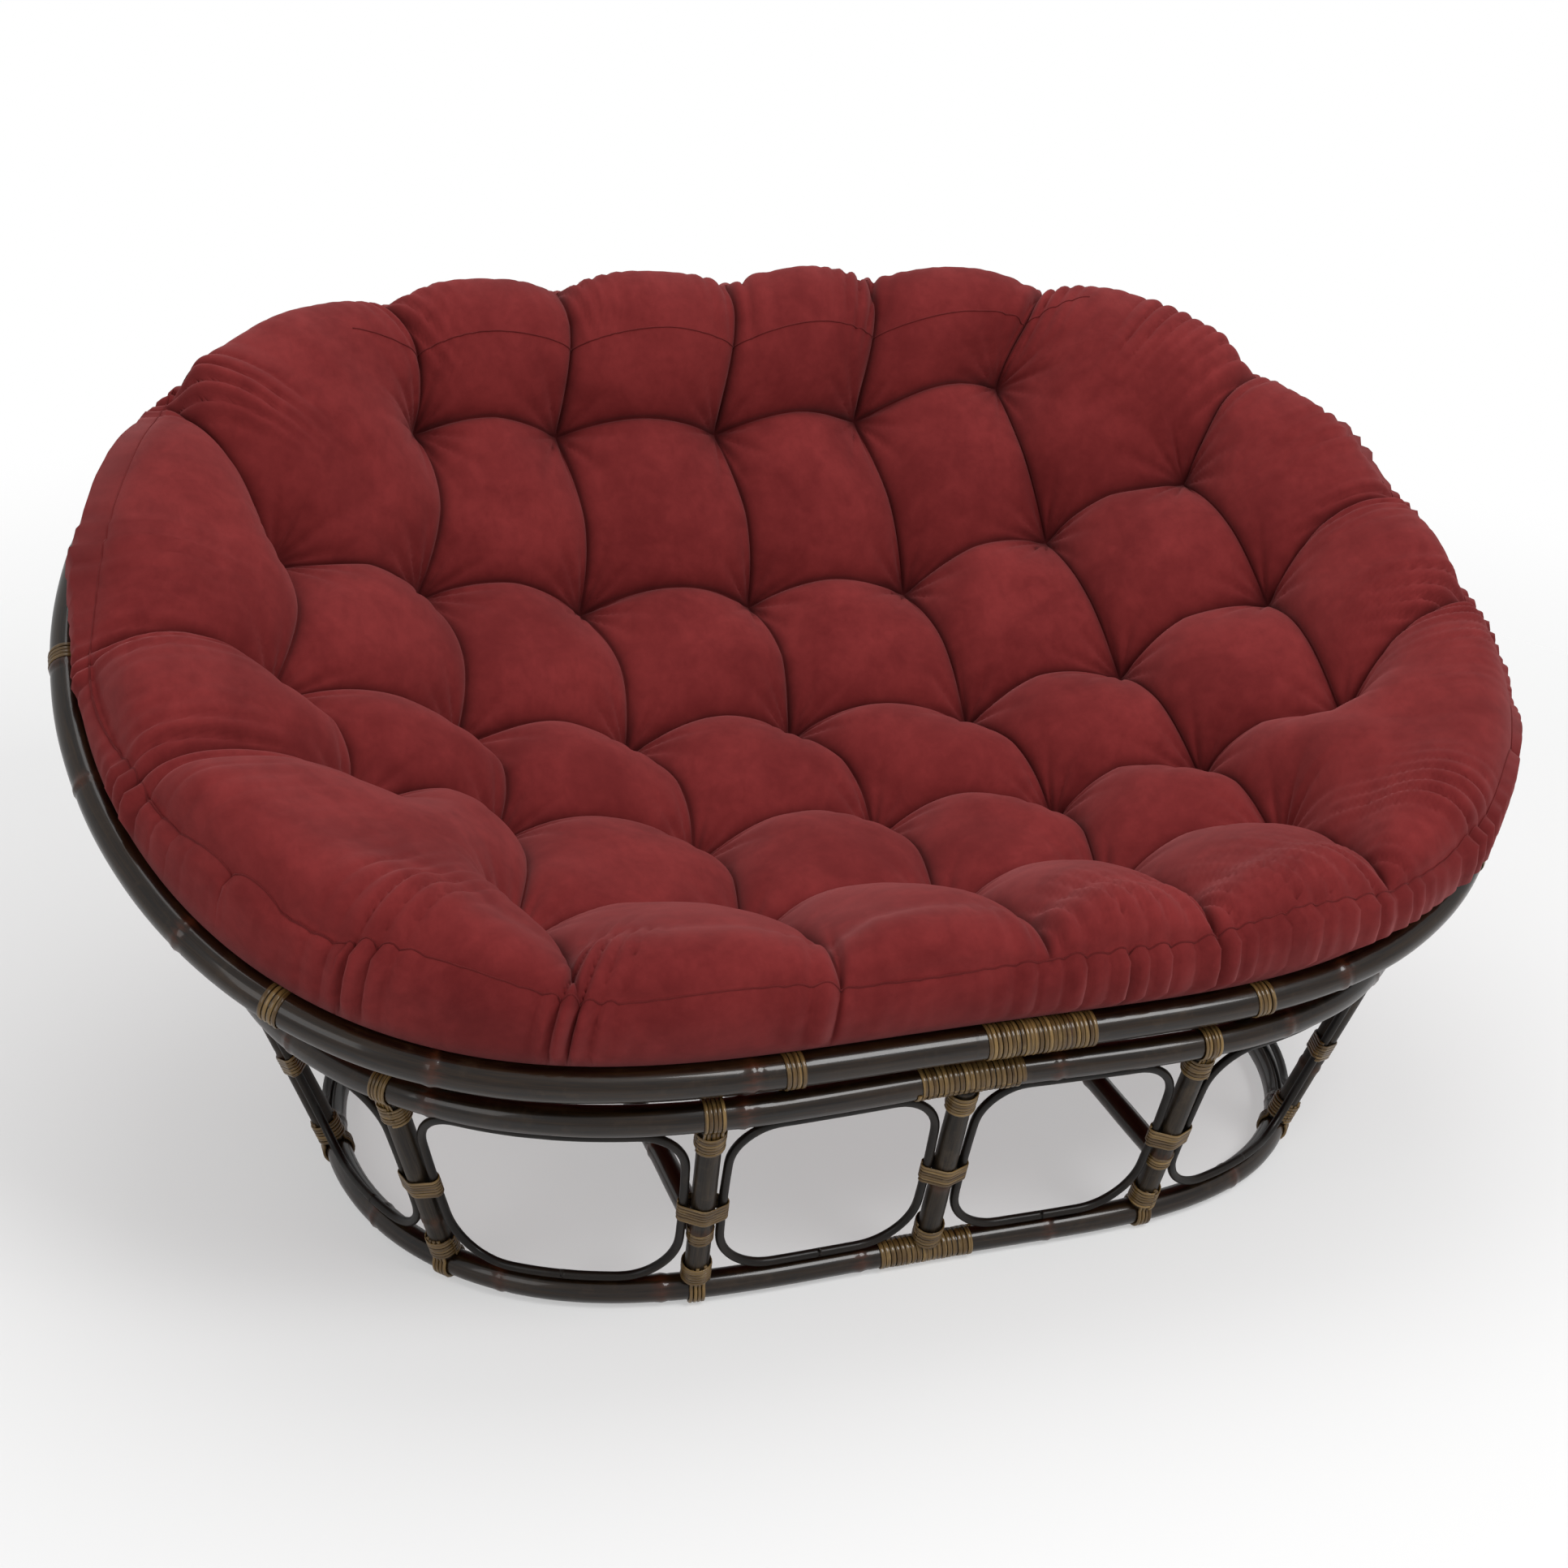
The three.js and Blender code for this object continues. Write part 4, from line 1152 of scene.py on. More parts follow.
    def wall_outward(self, angle: np.ndarray, height: np.ndarray) -> np.ndarray:
        """The direction out of that wall, by angle and height."""
        step = math.radians(1)
        return unit(np.cross(self.wall(angle + step, height) - self.wall(angle - step, height), UP))

    def ring_run(self, oval: Oval, height: float) -> Run:
        """A ring's middle line, from the front middle upright round to the right."""
        angle = np.linspace(0, 2 * math.pi, self.RING_STEPS, endpoint=False) - math.pi / 2
        return Run(self.ring_point(oval, height, angle), UP, closed=True)

    def upright_run(self, index: int) -> Run:
        """An upright's middle line, from the foot ring to the top ring.

        Args:
            index: which upright.

        Returns:
            The run.
        """
        angle = self.angles[index]
        foot = self.ring_point(self.foot, self.foot_height, angle)
        head = self.ring_point(self.top, self.top_height, angle)
        return Run(np.stack([foot, head]), self.wall_outward(angle, self.waist_height))

    def build(self) -> None:
        """Makes every piece of the stand."""
        self.rings()
        for index, name in enumerate(self.NAMES):
            self.upright(index, name)
            self.cane(index, name)
            self.waist_binding(index, name)
        for front, back, name in self.BRACES:
            self.brace(front, back, name)

    def rings(self) -> None:
        """Makes the two rings and the splices that bind their joints."""
        rings = (("top_ring", self.top, self.top_height, self.top_radius, self.TOP_SPLICE),
                 ("foot_ring", self.foot, self.foot_height, self.foot_radius, self.FOOT_SPLICE))
        for name, oval, height, radius, splice in rings:
            run = self.ring_run(oval, height)
            self.maker.rattan_pole(name, Body.STAND, run, radius, self.RING_SIDES)
            self.maker.splice(f"{name}_splice", Body.STAND, run, 0.0, radius, *splice)

    def ring_strands(self, skin: Skin, index: int, at_top: bool) -> None:
        """Adds the strands of peel that go over a ring and down both sides of an upright.

        Args:
            skin: the piece that they go into.
            index: which upright.
            at_top: whether it is the top ring or the foot ring.
        """
        run = self.upright_run(index)
        _, tangent, side, high = run.frames(np.array([run.length / 2]))
        tangent, side, high = tangent[0], side[0], high[0]
        inward = -tangent if at_top else tangent
        centre = run.points[1] if at_top else run.points[0]
        ring_radius = self.top_radius if at_top else self.foot_radius
        deep = self.maker.strip_deep if at_top else 2 * self.maker.strip_deep
        lift = self.touch_gap + deep
        count = self.TOP_STRANDS if at_top else self.FOOT_STRANDS
        angle = np.linspace(-self.strand_overlap, math.pi + self.strand_overlap, self.STRAND_STEPS)
        over_ring = (ring_radius + lift) * np.stack([np.cos(angle), -np.sin(angle)], axis=-1)
        for strand in range(count):
            across = (strand - (count - 1) / 2) * self.strand_spacing
            stray = self.maker.number(-self.strand_stray, self.strand_stray)
            face = math.sqrt(max(self.upright_radius ** 2 - across ** 2, self.strand_least ** 2))
            face += self.touch_gap
            length = self.maker.number(*self.strand_tail)
            bend = self.STRAND_BEND_SHARE * length
            flat = np.vstack([(face, length), (face, bend), over_ring, (-face, bend), (-face, length)])
            fine = np.linspace(0, len(flat) - 1, 3 * len(flat))
            out, down = (np.interp(fine, np.arange(len(flat)), values) for values in flat.T)
            slide = across + stray * np.cos(fine / len(flat) * math.pi)
            path = centre + out[:, None] * high + down[:, None] * inward + slide[:, None] * side
            normal = out[:, None] * high + np.minimum(down, 0)[:, None] * inward
            self.maker.strip(skin, path, normal, self.STRAND_WIDTH_SHARE * self.strand_spacing, deep)

    def upright(self, index: int, name: str) -> None:
        """Makes an upright, and the peel that ties it to the rings.

        Args:
            index: which upright.
            name: its place on the stand.
        """
        run = self.upright_run(index)
        skin = Skin()
        trim = (self.foot_radius - self.bite, self.top_radius - self.bite)
        self.maker.pole(skin, run, self.upright_radius, self.UPRIGHT_SIDES, True, trim)
        settle(skin.build(f"upright_{name}_pole", self.maker.finishes.upright), Body.STAND, Slot.RATTAN,
               f"upright_{name}")
        skin = Skin()
        bound = self.upright_radius + 2 * self.maker.strip_deep
        setback = self.wrap_setback + self.end_turns * self.turn_pitch / 2
        for middle in (self.foot_radius + setback, run.length - self.top_radius - setback):
            self.maker.winding(skin, run, middle, bound, self.end_turns, self.turn_pitch)
        if index:
            self.ring_strands(skin, index, True)
            self.ring_strands(skin, index, False)
        if any(index in pair for pair in self.BRACES):
            at_brace = run.nearest(self.wall(self.angles[index], self.brace_height))[0]
            self.maker.winding(skin, run, at_brace, self.upright_radius, self.brace_turns, self.turn_pitch)
        settle(skin.build(f"upright_{name}_ties", self.maker.finishes.peel), Body.STAND, Slot.PEEL)

    def cane_inset(self) -> float:
        """How far a cane's middle keeps from an upright's."""
        cane = corner_radius(self.cane_radius, CANE_FACETS)
        return corner_radius(self.upright_radius, UPRIGHT_FACETS) + self.touch_gap + cane

    def bay(self, index: int) -> tuple[np.ndarray, np.ndarray]:
        """Measures a bay at its waist.

        Args:
            index: the upright that it starts at.

        Returns:
            Angles from that upright to the next one, and how far across the bay each lies.
        """
        start = self.angles[index]
        end = self.angles[(index + 1) % len(self.angles)]
        angle = np.linspace(start, end if end > start else end + 2 * math.pi, self.BAY_STEPS)
        places = self.wall(angle, np.full(self.BAY_STEPS, self.waist_height))
        steps = np.linalg.norm(np.diff(places, axis=0), axis=1)
        return angle, np.concatenate([[0.0], np.cumsum(steps)])

    def cane_outline(self, width: float) -> list[tuple[int, float, float]]:
        """The outline of a cane, unrolled.

        Args:
            width: the width of its bay.

        Returns:
            For each place the side of the bay, how far it is drawn in from there, and its height.
        """
        cane = corner_radius(self.cane_radius, CANE_FACETS)
        top = self.top_height - corner_radius(self.top_radius, RING_FACETS) - self.touch_gap - cane
        foot = self.foot_height + corner_radius(self.foot_radius, RING_FACETS) + self.touch_gap + cane
        side = np.linspace(foot + self.cane_foot_corner, top - self.cane_top_corner, self.CORNER_STEPS)[1:-1]
        quarter = np.linspace(0, math.pi / 2, self.CORNER_STEPS)
        outline: list[tuple[int, float, float]] = []
        for number in range(4):
            at_top = number < 2
            sign = 1 if number in (0, 3) else -1
            corner, level = (self.cane_top_corner, top) if at_top else (self.cane_foot_corner, foot)
            for angle in number * math.pi / 2 + quarter:
                rise = math.sin(angle) - (1 if at_top else -1)
                outline.append((sign, corner * (1 - abs(math.cos(angle))), level + corner * rise))
            if number % 2:
                outline.extend((sign, 0.0, float(height)) for height in side[::sign])
            else:
                along = np.linspace(corner, width / 2 - self.cane_inset(), self.EDGE_STEPS)
                outline.extend((sign, float(drawn_in), level) for drawn_in in along[1:])
                outline.extend((-sign, float(drawn_in), level) for drawn_in in along[-2:0:-1])
        return outline

    def cane(self, index: int, name: str) -> None:
        """Makes the thin cane bent to fit inside a bay.

        Args:
            index: the upright that the bay starts at.
            name: its place on the stand.
        """
        angles, across = self.bay(index)
        width = float(across[-1])
        outline = self.cane_outline(width)
        heights = [height for _, _, height in outline]
        half = (max(heights) - min(heights)) / 2
        points, outward = [], []
        for sign, drawn_in, height in outline:
            bow = min(abs(height - self.waist_height) / half, 1.0)
            offset = self.cane_inset() + drawn_in + self.cane_bow * bow * bow
            edge = self.wall(angles[-1 if sign > 0 else 0], height)
            near = np.interp(width - offset if sign > 0 else offset, across, angles)
            offset *= offset / np.linalg.norm(edge - self.wall(near, height))
            turned = np.interp(width - offset if sign > 0 else offset, across, angles)
            points.append(self.wall(turned, height))
            outward.append(self.wall_outward(turned, height))
        run = self.rounded(np.array(points), np.array(outward))
        skin = Skin()
        self.maker.pole(skin, run, self.cane_radius, self.CANE_SIDES, False)
        loop = skin.build(f"cane_{name}_loop", self.maker.finishes.cane)
        settle(loop, Body.STAND, Slot.CANE, f"cane_{name}")

    @staticmethod
    def rounded(points: np.ndarray, outward: np.ndarray) -> Run:
        """Draws a closed run smoothly through points.

        Args:
            points: the points.
            outward: the outward direction at each.

        Returns:
            The run.
        """
        count = len(points)
        fine = np.arange(0, count, 0.25)
        low = np.floor(fine).astype(int)
        share = (fine - low)[:, None]
        drawn = [between(*(values[(low + step) % count] for step in (-1, 0, 1, 2)), share)
                 for values in (points, outward)]
        return Run(drawn[0], drawn[1], closed=True)

    def waist_binding(self, index: int, name: str) -> None:
        """Makes the slanted turns round an upright and the canes beside it.

        Args:
            index: which upright.
            name: its place on the stand.
        """
        run = self.upright_run(index)
        waist = run.nearest(self.wall(self.angles[index], self.waist_height))[0]
        centre, tangent, side, high = (values[0] for values in run.frames(np.array([waist])))
        angle = np.linspace(0, 2 * math.pi, self.BINDING_STEPS + 3)
        normals = np.stack([np.cos(angle), np.sin(angle)], axis=-1)
        inset = self.cane_inset()
        places = np.array([0.0, inset, -inset])
        radii = np.array([self.upright_radius, self.cane_radius, self.cane_radius])
        outermost = np.argmax(normals[:, :1] * places + radii, axis=1)
        reach = radii[outermost] + self.maker.strip_deep + self.touch_gap
        across = places[outermost] + normals[:, 0] * reach
        out = normals[:, 1] * reach
        slant = self.waist_slant if index in self.SLANTED_BACK else -self.waist_slant
        normal = normals[:, :1] * side + normals[:, 1:] * high
        skin = Skin()
        for turn in range(self.waist_turns):
            turned = turn - (self.waist_turns - 1) / 2 + angle / (2 * math.pi)
            rise = self.waist_pitch * turned + slant * across / inset
            rise += self.waist_stray * ripple(angle[:, None] + turn, 40 + index)
            path = centre + across[:, None] * side + out[:, None] * high + rise[:, None] * tangent
            self.maker.strip(skin, path, normal, self.waist_strip)
        settle(skin.build(f"waist_binding_{name}_turns", self.maker.finishes.peel), Body.STAND, Slot.PEEL,
               f"waist_binding_{name}")

    def brace(self, front: int, back: int, name: str) -> None:
        """Makes a brace from a front upright to the one behind it.

        Args:
            front: the front upright.
            back: the one behind it.
            name: its side of the stand.
        """
        ends = [self.wall(self.angles[index], self.brace_height) for index in (front, back)]
        self.maker.rattan_pole(f"brace_{name}", Body.STAND, Run(np.array(ends), UP), self.brace_radius,
                               self.UPRIGHT_SIDES, self.upright_radius + self.brace_gap)


# Bowl


@dataclass
class Bowl:
    """The bowl of bent poles, in a frame whose X is the axis that it turns about.

    Attributes:
        maker: makes its poles and windings.
        stand: the stand that it lies in.
        rim: the oval of its rim.
        rim_depth: how far under the axis the rim lies.
        rim_radius: the radius of the rim's pole.
        rib_radius: the radius of a rib.
        hoop_radius: the radius of the hoop's pole.
        hoop: the oval of the hoop, seen from above.
        side_rib_spread: how far in front of and behind the axis the outer long ribs meet the rim's plane.
        middle_rib_offset: the same for the middle one.
        cross_rib_places: where the ribs across the bowl lie along it.
        rib_outset: how far the long ribs lie outside the rim's reach.
        ride_gap: from the cross ribs to the top ring.
        lay_gap: from the hoop to the ribs that it lies on.
        touch_gap: how far poles that touch lie apart.
        splice_middle: where along the rim its splice lies.
        splice_turns: how many turns it has.
        splice_pitch: from turn to turn of it.
        wrap_turns: how many turns tie a rib to the rim.
        wrap_pitch: from turn to turn of them.
    """

    maker: Maker
    stand: Stand
    rim: Oval = Oval(808 * MM, 592 * MM, (0.042, 0.119))
    rim_depth: float = 248 * MM
    rim_radius: float = 17.5 * MM
    rib_radius: float = 9 * MM
    hoop_radius: float = 8 * MM
    hoop: Oval = Oval(430 * MM, 285 * MM, (0.042, 0.119))
    side_rib_spread: float = 407 * MM
    middle_rib_offset: float = 48 * MM
    cross_rib_places: tuple[float, float] = (-190 * MM, 317 * MM)
    rib_outset: float = 0.5 * MM
    ride_gap: float = 0.6 * MM
    lay_gap: float = 0.4 * MM
    touch_gap: float = 0.3 * MM
    splice_middle: float = 68 * MM
    splice_turns: int = 24
    splice_pitch: float = 4.9 * MM
    wrap_turns: int = 4
    wrap_pitch: float = 5.2 * MM

    RIM_STEPS = 900
    HOOP_STEPS = 360
    CROSS_RIB_STEPS = 160
    LONG_RIB_STEPS = 200
    RIM_SIDES = 24
    RIB_SIDES = 14
    # How far the ribs' ends keep from the rim's middle, as a share of its radius.
    RIB_TRIM_SHARE = 0.6

    def __post_init__(self) -> None:
        """Reads the axis from the record and works out the layers of poles."""
        hinge = next(joint for joint in frame["joints"] if joint["name"] == "bowl_tilt")
        lift = next(joint for joint in frame["joints"] if joint["name"] == "cushion_lift")
        self.axis_height = hinge["pos_m"][2]
        self.tilt = math.atan2(-lift["axis"][1], lift["axis"][2])
        self.rib = flat_radius(self.rib_radius, RIB_FACETS)
        self.hoop_flat = flat_radius(self.hoop_radius, RIB_FACETS)
        self.axis_rise = self.axis_height - self.stand.top_height
        self.side_drop = self.rib_outset - 2 * self.rib - self.touch_gap
        self.hoop_drop = self.rib_outset - self.rib - self.hoop_flat - self.lay_gap
        inside = self.hoop.half_length - 2 * self.hoop_radius
        slope = self.rim_reach(inside) - self.rim_reach(self.hoop.half_length)
        self.middle_drop = self.hoop_drop - self.hoop_flat - self.rib - float(slope)

    def to_row(self, points: np.ndarray) -> np.ndarray:
        """Points of the bowl's frame, in the chair's.

        Args:
            points: the points.

        Returns:
            The same points, in metres from the chair's origin.
        """
        sine, cosine = math.sin(self.tilt), math.cos(self.tilt)
        x, y, z = points[..., 0], points[..., 1], points[..., 2]
        return np.stack([x + self.stand.middle[0], y * cosine - z * sine + self.stand.middle[1],
                         y * sine + z * cosine + self.axis_height], axis=-1)

    def to_row_way(self, ways: np.ndarray) -> np.ndarray:
        """Directions of the bowl's frame, in the chair's."""
        return self.to_row(ways) - self.to_row(np.zeros(3))

    def rim_reach(self, x: np.ndarray) -> np.ndarray:
        """How far from the axis the bowl's round surface lies along it."""
        return np.hypot(self.rim.half_width_at(x), self.rim_depth)

    @staticmethod
    def reach_point(x: np.ndarray, angle: np.ndarray, reach: np.ndarray) -> np.ndarray:
        """Points by place along the axis, angle round it from straight down, and distance from it."""
        x, angle, reach = np.broadcast_arrays(x, angle, reach)
        return np.stack([x, reach * np.sin(angle), -reach * np.cos(angle)], axis=-1)

    def run_of(self, points: np.ndarray, closed: bool = False) -> Run:
        """A pole's run, its outward side away from the axis.

        Args:
            points: points of the bowl's frame.
            closed: whether its end meets its start.

        Returns:
            The run.
        """
        away = points.copy()
        away[:, 0] = 0
        return Run(self.to_row(points), self.to_row_way(unit(away)), closed)

    def rim_run(self) -> Run:
        """The rim's middle line, from its front middle round to the right.

        Returns:
            The closed run.
        """
        angle = np.linspace(0, 2 * math.pi, self.RIM_STEPS, endpoint=False) - math.pi / 2
        flat = self.rim.at(angle)
        points = np.concatenate([flat, np.full((len(flat), 1), -self.rim_depth)], axis=1)
        return Run(self.to_row(points), self.to_row_way(UP), closed=True)

    def cross_rib_run(self, x: float) -> Run:
        """A rib across the bowl, which rides on the top ring.

        Args:
            x: where along the bowl it lies.

        Returns:
            Its middle line.
        """
        width = self.stand.top.half_width_at(abs(x) + self.rib_radius)
        seat = flat_radius(self.stand.top_radius, RING_FACETS) + self.ride_gap + self.rib
        reach = math.hypot(float(width), self.axis_rise) - seat
        edge = math.atan2(float(self.rim.half_width_at(x)), self.rim_depth)
        angle = np.linspace(-edge, edge, self.CROSS_RIB_STEPS)
        return self.run_of(self.reach_point(x, angle, reach))

    def long_rib_run(self, angle: float, drop: float, meets: tuple[float, float]) -> Run:
        """A rib along the bowl.

        Args:
            angle: its angle about the axis.
            drop: how far inside the rim's reach it runs.
            meets: the places of the outermost poles that it lies on.

        Returns:
            Its middle line.
        """
        across = abs(self.rim_depth * math.tan(angle))
        points = self.rim.at(np.linspace(0, math.pi / 2, OVAL_STEPS + 1))
        end = float(points[points[:, 1] <= across][-1, 0])
        x = end * np.sin(np.linspace(-math.pi / 2, math.pi / 2, self.LONG_RIB_STEPS))
        meet = np.where(x > 0, abs(meets[1]), abs(meets[0]))
        beyond = np.clip((np.abs(x) - meet) / (end - meet), 0, None)
        return self.run_of(self.reach_point(x, angle, self.rim_reach(x) + drop * (1 - beyond ** 3)))

    def hoop_run(self) -> Run:
        """The oval hoop that the cushion lies on.

        Returns:
            Its middle line.
        """
        flat = self.hoop.at(np.linspace(0, 2 * math.pi, self.HOOP_STEPS, endpoint=False))
        reach = self.rim_reach(flat[:, 0]) + self.hoop_drop
        return self.run_of(self.reach_point(flat[:, 0], np.arcsin(flat[:, 1] / reach), reach), closed=True)

    def build(self) -> None:
        """Makes every piece of the bowl."""
        rim = self.rim_run()
        self.maker.rattan_pole("rim", Body.BOWL, rim, self.rim_radius, self.RIM_SIDES)
        self.maker.splice("rim_splice", Body.BOWL, rim, self.splice_middle, self.rim_radius,
                          self.splice_turns, self.splice_pitch)
        side_angle = math.atan2(self.side_rib_spread, self.rim_depth)
        middle_angle = math.atan2(self.middle_rib_offset, self.rim_depth)
        on_cross = self.cross_rib_places
        on_hoop = (-self.hoop.half_length, self.hoop.half_length)
        ribs = {
            "cross_rib_left": self.cross_rib_run(on_cross[0]),
            "cross_rib_right": self.cross_rib_run(on_cross[1]),
            "long_rib_front": self.long_rib_run(-side_angle, self.side_drop, on_cross),
            "long_rib_middle": self.long_rib_run(middle_angle, self.middle_drop, on_hoop),
            "long_rib_back": self.long_rib_run(side_angle, self.side_drop, on_cross),
        }
        for name, run in ribs.items():
            self.rib_piece(name, run, rim)
        self.maker.rattan_pole("bowl_hoop", Body.BOWL, self.hoop_run(), self.hoop_radius, self.RIB_SIDES)

    def rib_piece(self, name: str, run: Run, rim: Run) -> None:
        """Makes a rib and the turns that tie its ends to the rim.

        Args:
            name: its name.
            run: its middle line.
            rim: the rim's middle line.
        """
        self.maker.rattan_pole(name, Body.BOWL, run, self.rib_radius, self.RIB_SIDES,
                               self.RIB_TRIM_SHARE * self.rim_radius)
        skin = Skin()
        for end in (0.0, run.length):
            toward = 1 if end == 0.0 else -1
            place, away = rim.nearest(run.at(np.array(end))[0])
            step = 0.0
            while away < self.rim_radius:
                step += SEARCH_STEP
                place, away = rim.nearest(run.at(np.array(end + toward * step))[0])
            self.maker.winding(skin, rim, place, self.rim_radius, self.wrap_turns, self.wrap_pitch)
        settle(skin.build(f"{name}_ties", self.maker.finishes.peel), Body.BOWL, Slot.PEEL)


# Cushion


@dataclass
class Cushion:
    """The tufted cushion, in the bowl's frame.

    Its top is a lattice of pillows: creases run from tuft to tuft, and from the outer tufts
    to the seam at the edge. The four corners of the lattice have no tuft.

    Attributes:
        maker: holds the finishes.
        bowl: the bowl that it lies in.
        shift: how far its middle lies from the bowl's.
        top: the oval of the seam.
        bulge: how far the side swells out past the seam's oval.
        floor: the oval where its side ends and its floor begins.
        thickness: how thick it is in the middle, before its pillows.
        edge_height: how high the seam's level lies over the rim's middle.
        edge_roll: how far the edge rolls down behind and at the ends.
        front_edge_lift: how much less it does in front.
        floor_gap: how far its floor keeps off the poles under it.
        hollow_share: how far out the seat's dish reaches, as a share of the oval.
        crown: how high a pillow stands.
        sink: how far the lattice lies under the dish.
        tuft_depth: how deep a tuft is drawn in.
        tuft_radius: how wide its dimple is.
        crease_reach: how far from a crease a pillow goes on rising, in cells.
        crease_lift: how high a crease lies between two tufts, as a share of a pillow.
        overlap: how far a pillow hangs over the crease below it, in cells.
        corner_dome: how much higher the pillows without a tuft are in their middle.
        edge_shoulder: how far from the seam a pillow goes on rising, as a share of the oval.
        pucker_depth: how deep the puckers round a tuft are.
        pucker_reach: how far out they go.
        fold_depth: how deep the gathers at the seam are.
        fold_width: half the distance from one gather to the next.
        gather_reach: how far a group of gathers goes along the seam.
        seam_radius: half the thickness of the seam's line.
        rim_dip: how far the side may hang under the rim's middle, at the rim.
        back_seam_row: where the back pillows' seam lies, in rows of the lattice.
        back_seam_columns: where it starts and ends, in columns.
        cell_steps: steps to a cell of the lattice.
    """

    maker: Maker
    bowl: Bowl
    shift: tuple[float, float] = (18 * MM, 16 * MM)
    top: Oval = Oval(802 * MM, 590 * MM, (0.042, 0.119))
    bulge: float = 16 * MM
    floor: Oval = Oval(766 * MM, 518 * MM, (0.042, 0.119))
    thickness: float = 165 * MM
    edge_height: float = 88 * MM
    edge_roll: float = 30 * MM
    front_edge_lift: float = 42 * MM
    floor_gap: float = 1.2 * MM
    hollow_share: float = 0.87
    crown: float = 80 * MM
    sink: float = 35 * MM
    tuft_depth: float = 24 * MM
    tuft_radius: float = 30 * MM
    crease_reach: float = 0.85
    crease_lift: float = 0.24
    overlap: float = 0.06
    corner_dome: float = 4 * MM
    edge_shoulder: float = 0.15
    pucker_depth: float = 6 * MM
    pucker_reach: float = 50 * MM
    fold_depth: float = 8.5 * MM
    fold_width: float = 11.5 * MM
    gather_reach: float = 46 * MM
    seam_radius: float = 0.9 * MM
    rim_dip: float = 4 * MM
    back_seam_row: float = 5.45
    back_seam_columns: tuple[float, float] = (1.5, 6.5)
    cell_steps: int = 46

    COLUMNS = 8
    ROWS = 6
    # Tufts, row by row from the back to the front, in millimetres from the middle of the bowl.
    TUFT_ROWS = (
        ((-357, 420), (-184, 424), (23, 419), (214, 424), (402, 438)),
        ((-546, 215), (-374, 232), (-180, 238), (33, 236), (232, 232), (412, 246), (581, 247)),
        ((-572, 12), (-366, 28), (-165, 45), (39, 58), (248, 33), (430, 28), (604, 35)),
        ((-515, -135), (-352, -120), (-135, -132), (85, -118), (283, -150), (445, -165), (599, -180)),
        ((-392, -335), (-150, -322), (78, -318), (262, -325), (452, -330)),
    )
    # Where the lattice's lines reach the seam, and its corners that have no tuft.
    BACK_ENDS = ((-625, 450), (-530, 510), (-385, 570), (-160, 590), (60, 600), (250, 590), (500, 560),
                 (600, 500), (665, 445))
    FRONT_ENDS = ((-700, -360), (-600, -460), (-409, -565), (-148, -570), (66, -570), (245, -575),
                  (471, -560), (600, -470), (695, -365))
    LEFT_ENDS = ((-740, -285), (-765, -200), (-800, 5), (-668, 400), (-655, 425))
    RIGHT_ENDS = ((765, -255), (805, -95), (805, 100), (742, 365), (705, 405))
    BARE_CORNERS = {(1, 1): (-545, -315), (7, 1): (600, -320), (1, 5): (-520, 400), (7, 5): (560, 415)}
    # Gathers in the seam where no crease ends.
    EXTRA_GATHERS = ((-580, -481), (150, -570), (360, -560), (600, -470), (720, 190), (-770, 120),
                     (790, -170), (640, 450))
    # The boxing band: how far out it lies, as a share of the way from the floor's oval to the
    # side's, and its height, as a share of the seam's and a length.
    BAND_RINGS = ((0.92, 1.0, -7 * MM), (1.0, 0.62, 8 * MM), (1.03, 0.34, 12 * MM))
    # How the side goes down inside the rim: beside the rim's middle line, and over its plane.
    UNDER_RIM = ((-8.5, 18.0), (-15.5, 13.0), (-19.5, 5.0), (-20.5, -4.0), (-27.0, -14.0), (-38.0, -30.0),
                 (-52.0, -46.0))
    FLOOR_RINGS = 15
    RIM_CLEARANCE = 2 * MM
    # How the dish bends up, how sharply it levels off, and where its front edge rises.
    DISH_POWER = 2.2
    DISH_CORNER = 6
    FRONT_RISE = (0.1, 0.8)
    # How far the stops across a cell crowd towards its creases.
    CROWDING = 0.75
    # How far the creases wander, in cells, and how many waves they do it in.
    CREASE_WANDER = 0.035
    CREASE_WAVES = 1.7
    # How near the seam the pillows stop hanging over, and where the lattice's sink ends.
    OVERLAP_END = 0.14
    SINK_END = (0.86, 1.0)
    # How far from a crease the bare pillows' domes begin and are up, in cells.
    DOME_RISE = (0.5, 1.15)
    DIMPLE_POWER = 1.6
    # The fewest puckers round a tuft, and how many numbers of them there are.
    FEWEST_PUCKERS = 9
    PUCKER_NUMBERS = 4
    # From a tuft, where a crease begins to rise and where it is up; where puckers begin and are full.
    TUFT_RISE = (12 * MM, 100 * MM)
    PUCKER_START = (4 * MM, 22 * MM)
    # The filling's broad swells and small dents.
    SWELL_LENGTH = 110 * MM
    SWELL_HEIGHT = 2.2 * MM
    DENT_LENGTH = 35 * MM
    DENT_HEIGHT = 0.5 * MM
    # The gathers: over what length their spacing and depth vary, their depth where there is no
    # group of them, and how far out they and their painted shade begin and are full.
    FOLD_WANDER = 50 * MM
    FOLD_VARIETY = 28 * MM
    LEAST_FOLDS = 0.07
    FOLD_START = (0.74, 0.96)
    SHADE_START = (0.78, 0.96)
    # The seams' lines.
    EDGE_SEAM_LIFT = 0.4 * MM
    BACK_SEAM_LIFT = 0.2 * MM
    SEAM_STEP = 4 * MM
    SEAM_SIDES = 8
    # How wide the painted shade in a crease is, in cells, and how much shade is painted on the cloth
    # in a crease, a tuft, a fold, the boxing band's folds and a seam.
    CREASE_WIDTH = 0.03
    CREASE_SHADE = 0.5
    TUFT_SHADE = 0.45
    FOLD_SHADE = 0.35
    BAND_SHADE = 0.45
    SEAM_SHADE = 0.4

